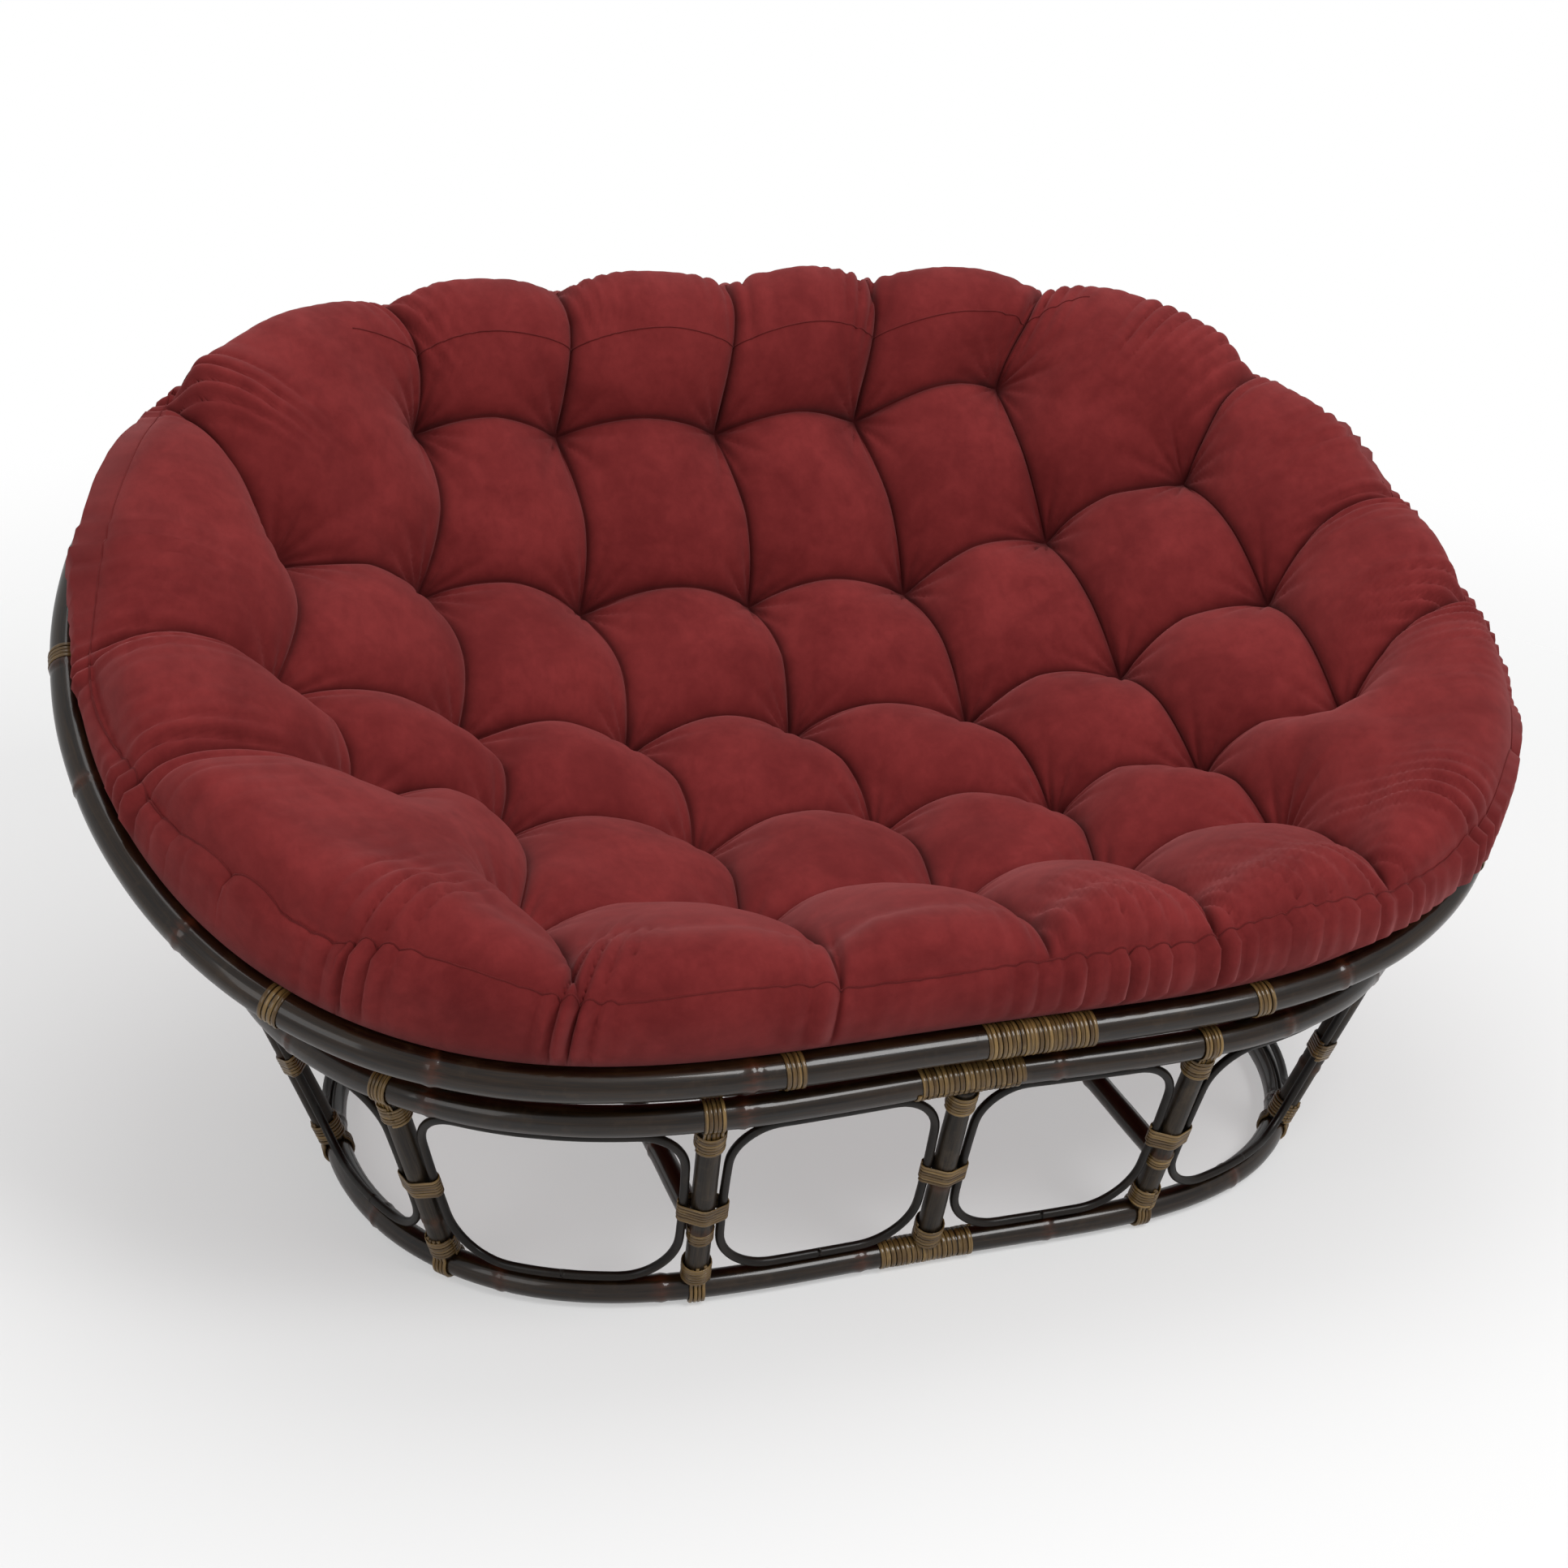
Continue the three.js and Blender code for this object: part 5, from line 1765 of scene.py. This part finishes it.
    def __post_init__(self) -> None:
        """Works out the levels of the seat and the floor."""
        self.floor_drop = self.bowl.middle_drop - self.bowl.rib - self.floor_gap
        self.seat_level = self.thickness - (float(self.bowl.rim_reach(0.0)) + self.floor_drop)
        self.edge_level = self.edge_height - self.bowl.rim_depth
        self.centre = np.array(self.shift)
        self.nodes = self.lattice_nodes()

    def lattice_nodes(self) -> np.ndarray:
        """Lays out the lattice.

        Returns:
            X and Y of every meeting of its lines, by column and row.
        """
        nodes = np.zeros((self.COLUMNS + 1, self.ROWS + 1, 2))
        for row, tufts in enumerate(self.TUFT_ROWS):
            first = (self.COLUMNS + 1 - len(tufts)) // 2
            nodes[first:first + len(tufts), self.ROWS - 1 - row] = tufts
        for (column, row), place in self.BARE_CORNERS.items():
            nodes[column, row] = place
        nodes[:, -1] = self.BACK_ENDS
        nodes[:, 0] = self.FRONT_ENDS
        nodes[0, 1:-1] = self.LEFT_ENDS
        nodes[-1, 1:-1] = self.RIGHT_ENDS
        nodes *= MM
        for ends in (nodes[:, 0], nodes[:, -1], nodes[0], nodes[-1]):
            outward = ends - self.centre
            reach = self.top.reach_towards(outward)
            ends[:] = self.centre + unit(outward) * reach[..., None]
        return nodes

    @staticmethod
    def drawn(values: np.ndarray, places: np.ndarray) -> np.ndarray:
        """Draws values smoothly along the first axis.

        Args:
            values: the values at whole places.
            places: the fractional places to read.

        Returns:
            The values there.
        """
        low = np.clip(np.floor(places).astype(int), 0, len(values) - 2)
        share = (places - low).reshape((-1,) + (1,) * (values.ndim - 1))
        start = 2 * values[0] - values[1]
        end = 2 * values[-1] - values[-2]
        padded = np.concatenate([start[None], values, end[None]])
        return between(*(padded[low + step] for step in range(4)), share)

    def stops(self, cells: int) -> np.ndarray:
        """Places across the lattice's cells, close together at the creases.

        Args:
            cells: how many cells there are.

        Returns:
            The places, from 0 to the number of cells.
        """
        even = np.linspace(0, 1, self.cell_steps + 1)
        share = self.CROWDING * (1 - np.cos(math.pi * even)) / 2 + (1 - self.CROWDING) * even
        inner = (np.arange(cells)[:, None] + share[None, :-1]).ravel()
        return np.append(inner, cells)

    @staticmethod
    def rise_from(distance: np.ndarray, reach: float) -> np.ndarray:
        """A round shoulder, from 0 at a crease to 1 where its reach ends."""
        share = np.clip(distance / reach, 0, 1)
        return np.sqrt(np.maximum(1 - (1 - share) ** 2, 0))

    def crease_lines(self) -> list[tuple[np.ndarray, np.ndarray]]:
        """The creases as lines of the lattice.

        Returns:
            The start and the end of each.
        """
        lines = []
        for column in range(1, self.COLUMNS):
            low, high = (2, 4) if column in (1, self.COLUMNS - 1) else (0, self.ROWS)
            lines.append((np.array([column, low], float), np.array([column, high], float)))
        for row in range(1, self.ROWS):
            low, high = (2, 6) if row in (1, self.ROWS - 1) else (0, self.COLUMNS)
            lines.append((np.array([low, row], float), np.array([high, row], float)))
        return lines

    def level(self, places: np.ndarray) -> np.ndarray:
        """The height of the dish without its pillows.

        Args:
            places: X and Y of the places.

        Returns:
            A height for each.
        """
        share = self.share(places)
        bent = (share / self.hollow_share) ** self.DISH_POWER
        rise = bent / (1 + bent ** self.DISH_CORNER) ** (1 / self.DISH_CORNER)
        front = smooth_step(-(places[..., 1] - self.centre[1]) / self.top.half_width, *self.FRONT_RISE)
        roll = (self.edge_roll - self.front_edge_lift * front) * smooth_step(share, self.hollow_share, 1.0)
        return self.seat_level + (self.edge_level - self.seat_level) * rise - roll

    def share(self, places: np.ndarray) -> np.ndarray:
        """How far out a place lies, from 0 at the middle to 1 at the seam."""
        outward = places - self.centre
        return np.hypot(outward[..., 0], outward[..., 1]) / self.top.reach_towards(outward)

    @staticmethod
    def pleat(values: np.ndarray) -> np.ndarray:
        """Round ridges with sharp valleys at the even numbers, from -1 to 1."""
        return 2 * np.sqrt(np.abs(np.sin(math.pi / 2 * values))) - 1

    def edge_folds(self, places: np.ndarray) -> np.ndarray:
        """How far the gathers along the seam stand out: most where a crease ends, and little between.

        Args:
            places: X and Y of points of the cushion.

        Returns:
            Values mostly between -1 and 1.
        """
        around = np.linspace(-math.pi, math.pi, OVAL_STEPS + 1)
        edge = np.stack([np.cos(around), np.sin(around)], axis=-1)
        edge *= self.top.reach_towards(edge)[:, None]
        run = np.concatenate([[0.0], np.cumsum(np.linalg.norm(np.diff(edge, axis=0), axis=1))])
        offset = places - self.centre
        along = np.interp(np.arctan2(offset[..., 1], offset[..., 0]), around, run)
        ends = np.concatenate([self.nodes[2:-2, 0], self.nodes[2:-2, -1], self.nodes[0, 2:-2],
                               self.nodes[-1, 2:-2], np.array(self.EXTRA_GATHERS) * MM])
        strength = np.full_like(along, self.LEAST_FOLDS)
        for end in ends - self.centre:
            place = np.interp(math.atan2(end[1], end[0]), around, run)
            away = np.abs(along - place)
            away = np.minimum(away, run[-1] - away)
            strength += np.exp(-(away / self.gather_reach) ** 2)
        wander = 1.1 * ripple(along[..., None] / self.FOLD_WANDER, 33)
        uneven = 0.7 + 0.4 * ripple(along[..., None] / self.FOLD_VARIETY, 35)
        return self.pleat(along / self.fold_width + wander) * uneven * np.clip(strength, 0, 1)

    def overlapped(self, lattice: np.ndarray) -> np.ndarray:
        """Bends the lattice so that each pillow hangs over the crease below it.

        Args:
            lattice: the column and row of each point.

        Returns:
            X and Y of each.
        """
        across, along = lattice[:, 0, 0], lattice[0, :, 1]
        flat = self.drawn(self.drawn(self.nodes, across).swapaxes(0, 1), along).swapaxes(0, 1)
        lean = smooth_step(1 - self.share(flat), 0.0, self.OVERLAP_END) * self.overlap
        swing = np.abs(np.sin(math.pi * lattice)) * lean[..., None]
        right = np.gradient(flat, across, axis=0) * swing[..., 1:]
        back = np.gradient(flat, along, axis=1) * swing[..., :1]
        return flat + right + back

    def facing(self, flat: np.ndarray) -> np.ndarray:
        """The way that the dish faces.

        Args:
            flat: X and Y of its points.

        Returns:
            A direction for each.
        """
        step = 2 * MM
        slope_x = (self.level(flat + [step, 0]) - self.level(flat - [step, 0])) / (2 * step)
        slope_y = (self.level(flat + [0, step]) - self.level(flat - [0, step])) / (2 * step)
        return unit(np.stack([-slope_x, -slope_y, np.ones_like(slope_x)], axis=-1))

    def pillows(self, lattice: np.ndarray) -> tuple[np.ndarray, np.ndarray]:
        """The pillows between the creases.

        Args:
            lattice: the column and row of each point.

        Returns:
            How high each point rises, from 0 to 1, and how many cells it is from a crease.
        """
        waves = np.stack([ripple(lattice * self.CREASE_WAVES, seed) for seed in (3, 4)], axis=-1)
        bend = lattice + self.CREASE_WANDER * waves * np.sin(math.pi * lattice) ** 2
        pillow = np.ones(lattice.shape[:-1])
        nearest = np.full(lattice.shape[:-1], np.inf)
        for start, end in self.crease_lines():
            way = end - start
            place = np.clip(((bend - start) @ way) / (way @ way), 0, 1)
            away = np.linalg.norm(bend - start - place[..., None] * way, axis=-1)
            pillow *= self.rise_from(away, self.crease_reach)
            nearest = np.minimum(nearest, away)
        return pillow, nearest

    def tufted(self, flat: np.ndarray) -> tuple[np.ndarray, np.ndarray, np.ndarray]:
        """The tufts' dimples and the puckers round them.

        Args:
            flat: X and Y of points of the top.

        Returns:
            How far each is drawn in, how far its puckers stand out, and how far the nearest tuft is.
        """
        tufts = [self.nodes[column, row] for column in range(1, self.COLUMNS) for row in range(1, self.ROWS)
                 if (column, row) not in self.BARE_CORNERS]
        pull = np.zeros(flat.shape[:-1])
        pucker = np.zeros_like(pull)
        closest = np.full_like(pull, np.inf)
        for number, tuft in enumerate(tufts):
            offset = flat - tuft
            away = np.hypot(offset[..., 0], offset[..., 1])
            closest = np.minimum(closest, away)
            pull += np.exp(-(away / self.tuft_radius) ** self.DIMPLE_POWER)
            around = np.arctan2(offset[..., 1], offset[..., 0])
            folds = self.FEWEST_PUCKERS + number % self.PUCKER_NUMBERS
            fade = np.exp(-(away / self.pucker_reach) ** 2) * smooth_step(away, *self.PUCKER_START)
            pucker += fade * self.pleat(folds * around / math.pi + number * 0.7)
        return pull, pucker, closest

    def top_surface(self) -> tuple[np.ndarray, np.ndarray]:
        """The top of the cushion.

        Returns:
            Its points, by column and row of the fine lattice, and how deep in a crease each lies.
        """
        across, along = self.stops(self.COLUMNS), self.stops(self.ROWS)
        lattice = np.stack(np.meshgrid(across, along, indexing="ij"), axis=-1)
        flat = self.overlapped(lattice)
        share = self.share(flat)
        pillow, nearest = self.pillows(lattice)
        pillow *= self.rise_from(1 - share, self.edge_shoulder)
        pull, pucker, closest = self.tufted(flat)
        lift = self.crease_lift * smooth_step(closest, *self.TUFT_RISE) * smooth_step(1 - share, 0.0, 0.1)
        pillow = lift + (1 - lift) * pillow
        uneven = self.SWELL_HEIGHT * ripple(flat / self.SWELL_LENGTH, 21)
        uneven += self.DENT_HEIGHT * ripple(flat / self.DENT_LENGTH, 22, 9)
        folds = self.edge_folds(flat)
        rise = self.crown * pillow - self.sink * (1 - smooth_step(share, *self.SINK_END))
        rise -= self.tuft_depth * np.clip(pull, 0, 1.1)
        rise += self.pucker_depth * pucker + uneven * pillow
        rise += self.corner_dome * smooth_step(nearest, *self.DOME_RISE) * smooth_step(1 - share, 0.0, 0.2)
        rise += self.fold_depth * folds * smooth_step(share, *self.FOLD_START)
        points = np.concatenate([flat, self.level(flat)[..., None]], axis=-1)
        points += self.facing(flat) * rise[..., None]
        # Painted shade: the cloth is darkened in the creases, in the tufts' dimples and in the valleys of
        # the gathers near the seam.
        painted_shade = self.CREASE_SHADE * np.exp(-(nearest / self.CREASE_WIDTH) ** 1.2)
        painted_shade += self.TUFT_SHADE * np.clip(pull, 0, 1) ** 2
        painted_shade += self.FOLD_SHADE * np.clip(-folds, 0, 1) * smooth_step(share, *self.SHADE_START)
        return points, np.clip(painted_shade, 0, 1)

    def side_rings(self, seam: np.ndarray, folds: np.ndarray) -> list[np.ndarray]:
        """The rings of the cover from the seam down to the middle of the floor.

        Args:
            seam: the points of the seam.
            folds: how far the gathers stand out at each.

        Returns:
            The points of each ring, from the top to the floor.
        """
        outward = unit(seam[:, :2] - self.centre)
        outer = self.centre + outward * (self.top.reach_towards(outward) + self.bulge)[:, None]
        inner = self.centre + outward * self.floor.reach_towards(outward)[:, None]
        high = seam[:, 2] + self.bowl.rim_depth
        rings = []
        for out, height_share, lift in self.BAND_RINGS:
            flat = inner + (outer - inner) * out + outward * (self.fold_depth * folds)[:, None]
            rings.append(self.over_rim(flat, height_share * high + lift))
        from_rim = unit(seam[:, :2])
        rim_reach = self.bowl.rim.reach_towards(from_rim)
        inner_reach = np.linalg.norm(inner, axis=1)
        for beside, height in self.UNDER_RIM:
            reach = np.maximum(rim_reach + beside * MM, inner_reach + self.RIM_CLEARANCE)
            rings.append(self.over_rim(from_rim * reach[:, None], np.full(len(seam), height * MM)))
        for share in np.linspace(1.0, 0.0, self.FLOOR_RINGS)[:-1]:
            flat = self.centre + (inner - self.centre) * share
            rings.append(np.concatenate([flat, self.floor_level(flat)[:, None]], axis=1))
        return rings

    @staticmethod
    def joined(index: np.ndarray, loop: list[tuple[int, int]], rings: int) -> list[tuple[int, ...]]:
        """Joins the top, the rings under it and the middle of the floor.

        Args:
            index: the number of each point of the top, by column and row.
            loop: the columns and rows of the seam's points.
            rings: how many rings there are.

        Returns:
            The faces, by the numbers of their corners.
        """
        quads = np.stack([index[:-1, :-1], index[1:, :-1], index[1:, 1:], index[:-1, 1:]], axis=-1)
        faces = [tuple(quad) for quad in quads.reshape(-1, 4).tolist()]
        count = len(loop)
        over = [int(index[place]) for place in loop]
        for ring in range(rings):
            first = index.size + ring * count
            under = list(range(first, first + count))
            for step in range(count):
                beside = (step + 1) % count
                faces.append((over[step], under[step], under[beside], over[beside]))
            over = under
        middle = index.size + rings * count
        faces.extend((over[step], middle, over[(step + 1) % count]) for step in range(count))
        return faces

    def build(self) -> None:
        """Makes the cushion and its seams."""
        points, painted_shade = self.top_surface()
        columns, rows = painted_shade.shape
        loop = [(column, 0) for column in range(columns - 1)]
        loop += [(columns - 1, row) for row in range(rows - 1)]
        loop += [(column, rows - 1) for column in range(columns - 1, 0, -1)]
        loop += [(0, row) for row in range(rows - 1, 0, -1)]
        seam = np.array([points[place] for place in loop])
        folds = self.edge_folds(seam[:, :2])
        rings = self.side_rings(seam, folds)
        hub = [*self.centre, -(float(self.bowl.rim_reach(self.centre[0])) + self.floor_drop)]
        places = np.vstack([points.reshape(-1, 3), *rings, [hub]])
        # Painted shade for the cover: on the top in its creases, tufts and gathers, and on the boxing band
        # in its folds' valleys.
        band = np.zeros(len(places))
        band[:painted_shade.size] = painted_shade.ravel()
        banded = len(self.BAND_RINGS)
        shaded = np.tile(self.BAND_SHADE * np.clip(-folds, 0, 1), banded)
        band[painted_shade.size:painted_shade.size + len(shaded)] = shaded
        skin = Skin()
        faces = self.joined(np.arange(painted_shade.size).reshape(columns, rows), loop, len(rings))
        skin.add(self.bowl.to_row(places), faces, places, np.full(len(places), 0.5), band)
        cushion = skin.build("cushion_cover", self.maker.finishes.suede)
        settle(cushion, Body.CUSHION, Slot.SUEDE, "cushion")
        outward = np.concatenate([unit(seam[:, :2] - self.centre), np.zeros((len(seam), 1))], axis=1)
        self.seam_line("cushion_edge_seam", seam + outward * self.EDGE_SEAM_LIFT, outward, True)
        self.back_seam(points)

    def back_seam(self, points: np.ndarray) -> None:
        """Makes the seam on the back pillows.

        Args:
            points: the points of the top, by column and row.
        """
        row = int(np.argmin(np.abs(self.stops(self.ROWS) - self.back_seam_row)))
        stops = self.stops(self.COLUMNS)
        first, last = (int(np.argmin(np.abs(stops - column))) for column in self.back_seam_columns)
        line = points[first:last + 1, row]
        ahead = np.gradient(line, axis=0)
        facing = unit(np.cross(ahead, points[first:last + 1, row + 1] - line))
        self.seam_line("cushion_back_seam", line + facing * self.BACK_SEAM_LIFT, facing, False)

    def over_rim(self, flat: np.ndarray, height: np.ndarray) -> np.ndarray:
        """A ring of the side wall, kept off the rim and the poles under the cushion.

        Args:
            flat: X and Y of its points.
            height: how high over the rim's middle it should lie.

        Returns:
            Its points in the bowl's frame.
        """
        beside = np.hypot(flat[:, 0], flat[:, 1]) - self.bowl.rim.reach_towards(flat)
        clear = np.sqrt(np.maximum((self.bowl.rim_radius + self.RIM_CLEARANCE) ** 2 - beside ** 2, 0))
        level = np.where((clear > 0) & (height > -5 * MM), np.maximum(height, clear), height)
        lowest = np.minimum(self.floor_level(flat), -self.bowl.rim_depth - self.rim_dip)
        level = np.maximum(level - self.bowl.rim_depth, lowest)
        return np.concatenate([flat, level[:, None]], axis=1)

    def floor_level(self, flat: np.ndarray) -> np.ndarray:
        """How low the cushion may reach at each place."""
        reach = self.bowl.rim_reach(flat[:, 0]) + self.floor_drop
        return -np.sqrt(np.maximum(reach ** 2 - flat[:, 1] ** 2, 0))

    def seam_line(self, name: str, points: np.ndarray, facing: np.ndarray, closed: bool) -> None:
        """Makes the thin line of a seam.

        Args:
            name: the piece's name.
            points: its places, in the bowl's frame.
            facing: the way that the cover faces at each of them.
            closed: whether its end meets its start.
        """
        run = Run(self.bowl.to_row(points), self.bowl.to_row_way(facing), closed)
        distance = np.linspace(0, run.length, int(run.length / self.SEAM_STEP), endpoint=not closed)
        centre, _, side, high = run.frames(distance)
        # Painted shade along the seam's line.
        shade = np.full(len(centre), self.SEAM_SHADE)
        skin = Skin()
        radius = self.seam_radius
        skin.tube(centre, side, high, radius, radius, closed, 0.5, shade, self.SEAM_SIDES)
        piece = skin.build(name, self.maker.finishes.suede)
        settle(piece, Body.CUSHION, Slot.SUEDE)


# Studio


@dataclass
class Studio:
    """The floor, the light and the camera.

    Attributes:
        photo_side: the photograph's width and height in pixels.
        focal: the lens in those pixels.
        turn: the camera's azimuth in degrees.
        rise: its elevation in degrees.
        roll: how far it leans, in degrees.
        distance: how far it stands from what it looks at.
        principal: where its axis meets the picture, in pixels.
        aim_height: how high it looks at the middle of the stand.
        sensor: the width of its sensor, in millimetres.
        floor_side: the floor's side.
        floor_fade: how far out the floor begins to fade, and where it is gone.
        floor_share: how much of it shows before that.
    """

    photo_side: float = 1932.0
    focal: float = 2947.3
    turn: float = -20.28
    rise: float = 20.57
    roll: float = 2.58
    distance: float = 2.6575
    principal: tuple[float, float] = (1026.6, 803.9)
    aim_height: float = 0.5579
    sensor: float = 36.0
    floor_side: float = 8.0
    floor_fade: tuple[float, float] = (1.0, 3.0)
    floor_share: float = 0.6

    # Each soft light's name, place, size in metres and power in watts, and what they all face.
    LAMPS = (("key", (1.3, -2.4, 3.3), 1.6, 66.0), ("fill", (-2.8, -1.8, 1.8), 1.6, 12.0),
             ("top", (0.2, 0.7, 3.4), 2.6, 36.0))
    LAMP_AIM = (0.0, 0.0, 0.4)
    SKY_LIGHT = 0.5
    FLOOR_COLOUR = (0.93, 0.93, 0.93, 1.0)
    FLOOR_ROUGHNESS = 0.9
    NEAREST = 0.05

    def build(self, middle: np.ndarray) -> None:
        """Makes the studio.

        Args:
            middle: X and Y of the middle of the stand.
        """
        self.camera(np.array([middle[0], middle[1], self.aim_height]))
        self.floor()
        self.lights()
        self.sky()
        bpy.context.scene.view_settings.view_transform = "Standard"

    def camera(self, aim: np.ndarray) -> None:
        """Makes the camera, at the photograph's viewing angle.

        Args:
            aim: what it looks at.
        """
        turn, rise, roll = (math.radians(angle) for angle in (self.turn, self.rise, self.roll))
        back = np.array([math.sin(turn) * math.cos(rise), -math.cos(turn) * math.cos(rise), math.sin(rise)])
        right = unit(np.cross(-back, UP))
        high = np.cross(right, -back)
        leaning_right = math.cos(roll) * right + math.sin(roll) * high
        leaning_high = -math.sin(roll) * right + math.cos(roll) * high
        data = bpy.data.cameras.new("camera")
        data.sensor_width = self.sensor
        data.lens = self.focal / self.photo_side * self.sensor
        data.shift_x = (self.photo_side / 2 - self.principal[0]) / self.photo_side
        data.shift_y = (self.principal[1] - self.photo_side / 2) / self.photo_side
        data.clip_start = self.NEAREST
        camera = bpy.data.objects.new("camera", data)
        matrix = np.eye(4)
        matrix[:3, 0], matrix[:3, 1], matrix[:3, 2] = leaning_right, leaning_high, back
        matrix[:3, 3] = aim + back * self.distance
        camera.matrix_world = Matrix(matrix.tolist())
        bpy.context.scene.collection.objects.link(camera)
        bpy.context.scene.camera = camera

    def floor(self) -> None:
        """Makes the plain pale floor."""
        mesh = bpy.data.meshes.new("floor")
        side = self.floor_side / 2
        mesh.from_pydata([(-side, -side, 0), (side, -side, 0), (side, side, 0), (-side, side, 0)], [],
                         [(0, 1, 2, 3)])
        floor = bpy.data.objects.new("floor", mesh)
        bpy.context.scene.collection.objects.link(floor)
        material, wiring, shader = principled("pale_floor")
        shader.inputs["Base Color"].default_value = self.FLOOR_COLOUR
        shader.inputs["Roughness"].default_value = self.FLOOR_ROUGHNESS
        geometry = wiring.tree.nodes.new("ShaderNodeNewGeometry")
        reach = wiring.tree.nodes.new("ShaderNodeVectorMath")
        reach.operation = "LENGTH"
        wiring.put(reach.inputs[0], geometry.outputs["Position"])
        faded = wiring.spread(reach.outputs["Value"], *self.floor_fade)
        seen = wiring.math("MULTIPLY", wiring.math("SUBTRACT", 1.0, faded), self.floor_share)
        wiring.put(shader.inputs["Alpha"], seen)
        mesh.materials.append(material)

    def lights(self) -> None:
        """Makes the soft lights."""
        for name, place, size, power in self.LAMPS:
            data = bpy.data.lights.new(name, "AREA")
            data.energy = power
            data.size = size
            lamp = bpy.data.objects.new(name, data)
            lamp.location = place
            aim = Vector(self.LAMP_AIM) - Vector(place)
            lamp.rotation_euler = aim.to_track_quat("-Z", "Y").to_euler()
            bpy.context.scene.collection.objects.link(lamp)

    def sky(self) -> None:
        """Makes the background: white where it is seen, and dimmer as a light."""
        world = bpy.data.worlds.new("studio")
        bpy.context.scene.world = world
        world.use_nodes = True
        tree = world.node_tree
        tree.nodes.clear()
        wiring = Wiring(tree)
        path = tree.nodes.new("ShaderNodeLightPath").outputs
        mix = tree.nodes.new("ShaderNodeMixShader")
        wiring.put(mix.inputs[0], wiring.math("MAXIMUM", path["Is Camera Ray"], path["Is Transmission Ray"]))
        for place, strength in enumerate((self.SKY_LIGHT, 1.0), start=1):
            background = tree.nodes.new("ShaderNodeBackground")
            background.inputs["Color"].default_value = WHITE
            background.inputs["Strength"].default_value = strength
            wiring.put(mix.inputs[place], background.outputs[0])
        wiring.put(tree.nodes.new("ShaderNodeOutputWorld").inputs["Surface"], mix.outputs[0])


def main() -> None:
    """Builds the chair and the studio."""
    logging.basicConfig(level=logging.INFO, format="%(name)s: %(message)s")
    finishes = Finishes()
    maker = Maker(finishes)
    stand = Stand(maker)
    stand.build()
    bowl = Bowl(maker, stand)
    bowl.build()
    Cushion(maker, bowl).build()
    Studio().build(stand.middle)
    bpy.context.view_layer.update()


if __name__ == "__main__":
    main()
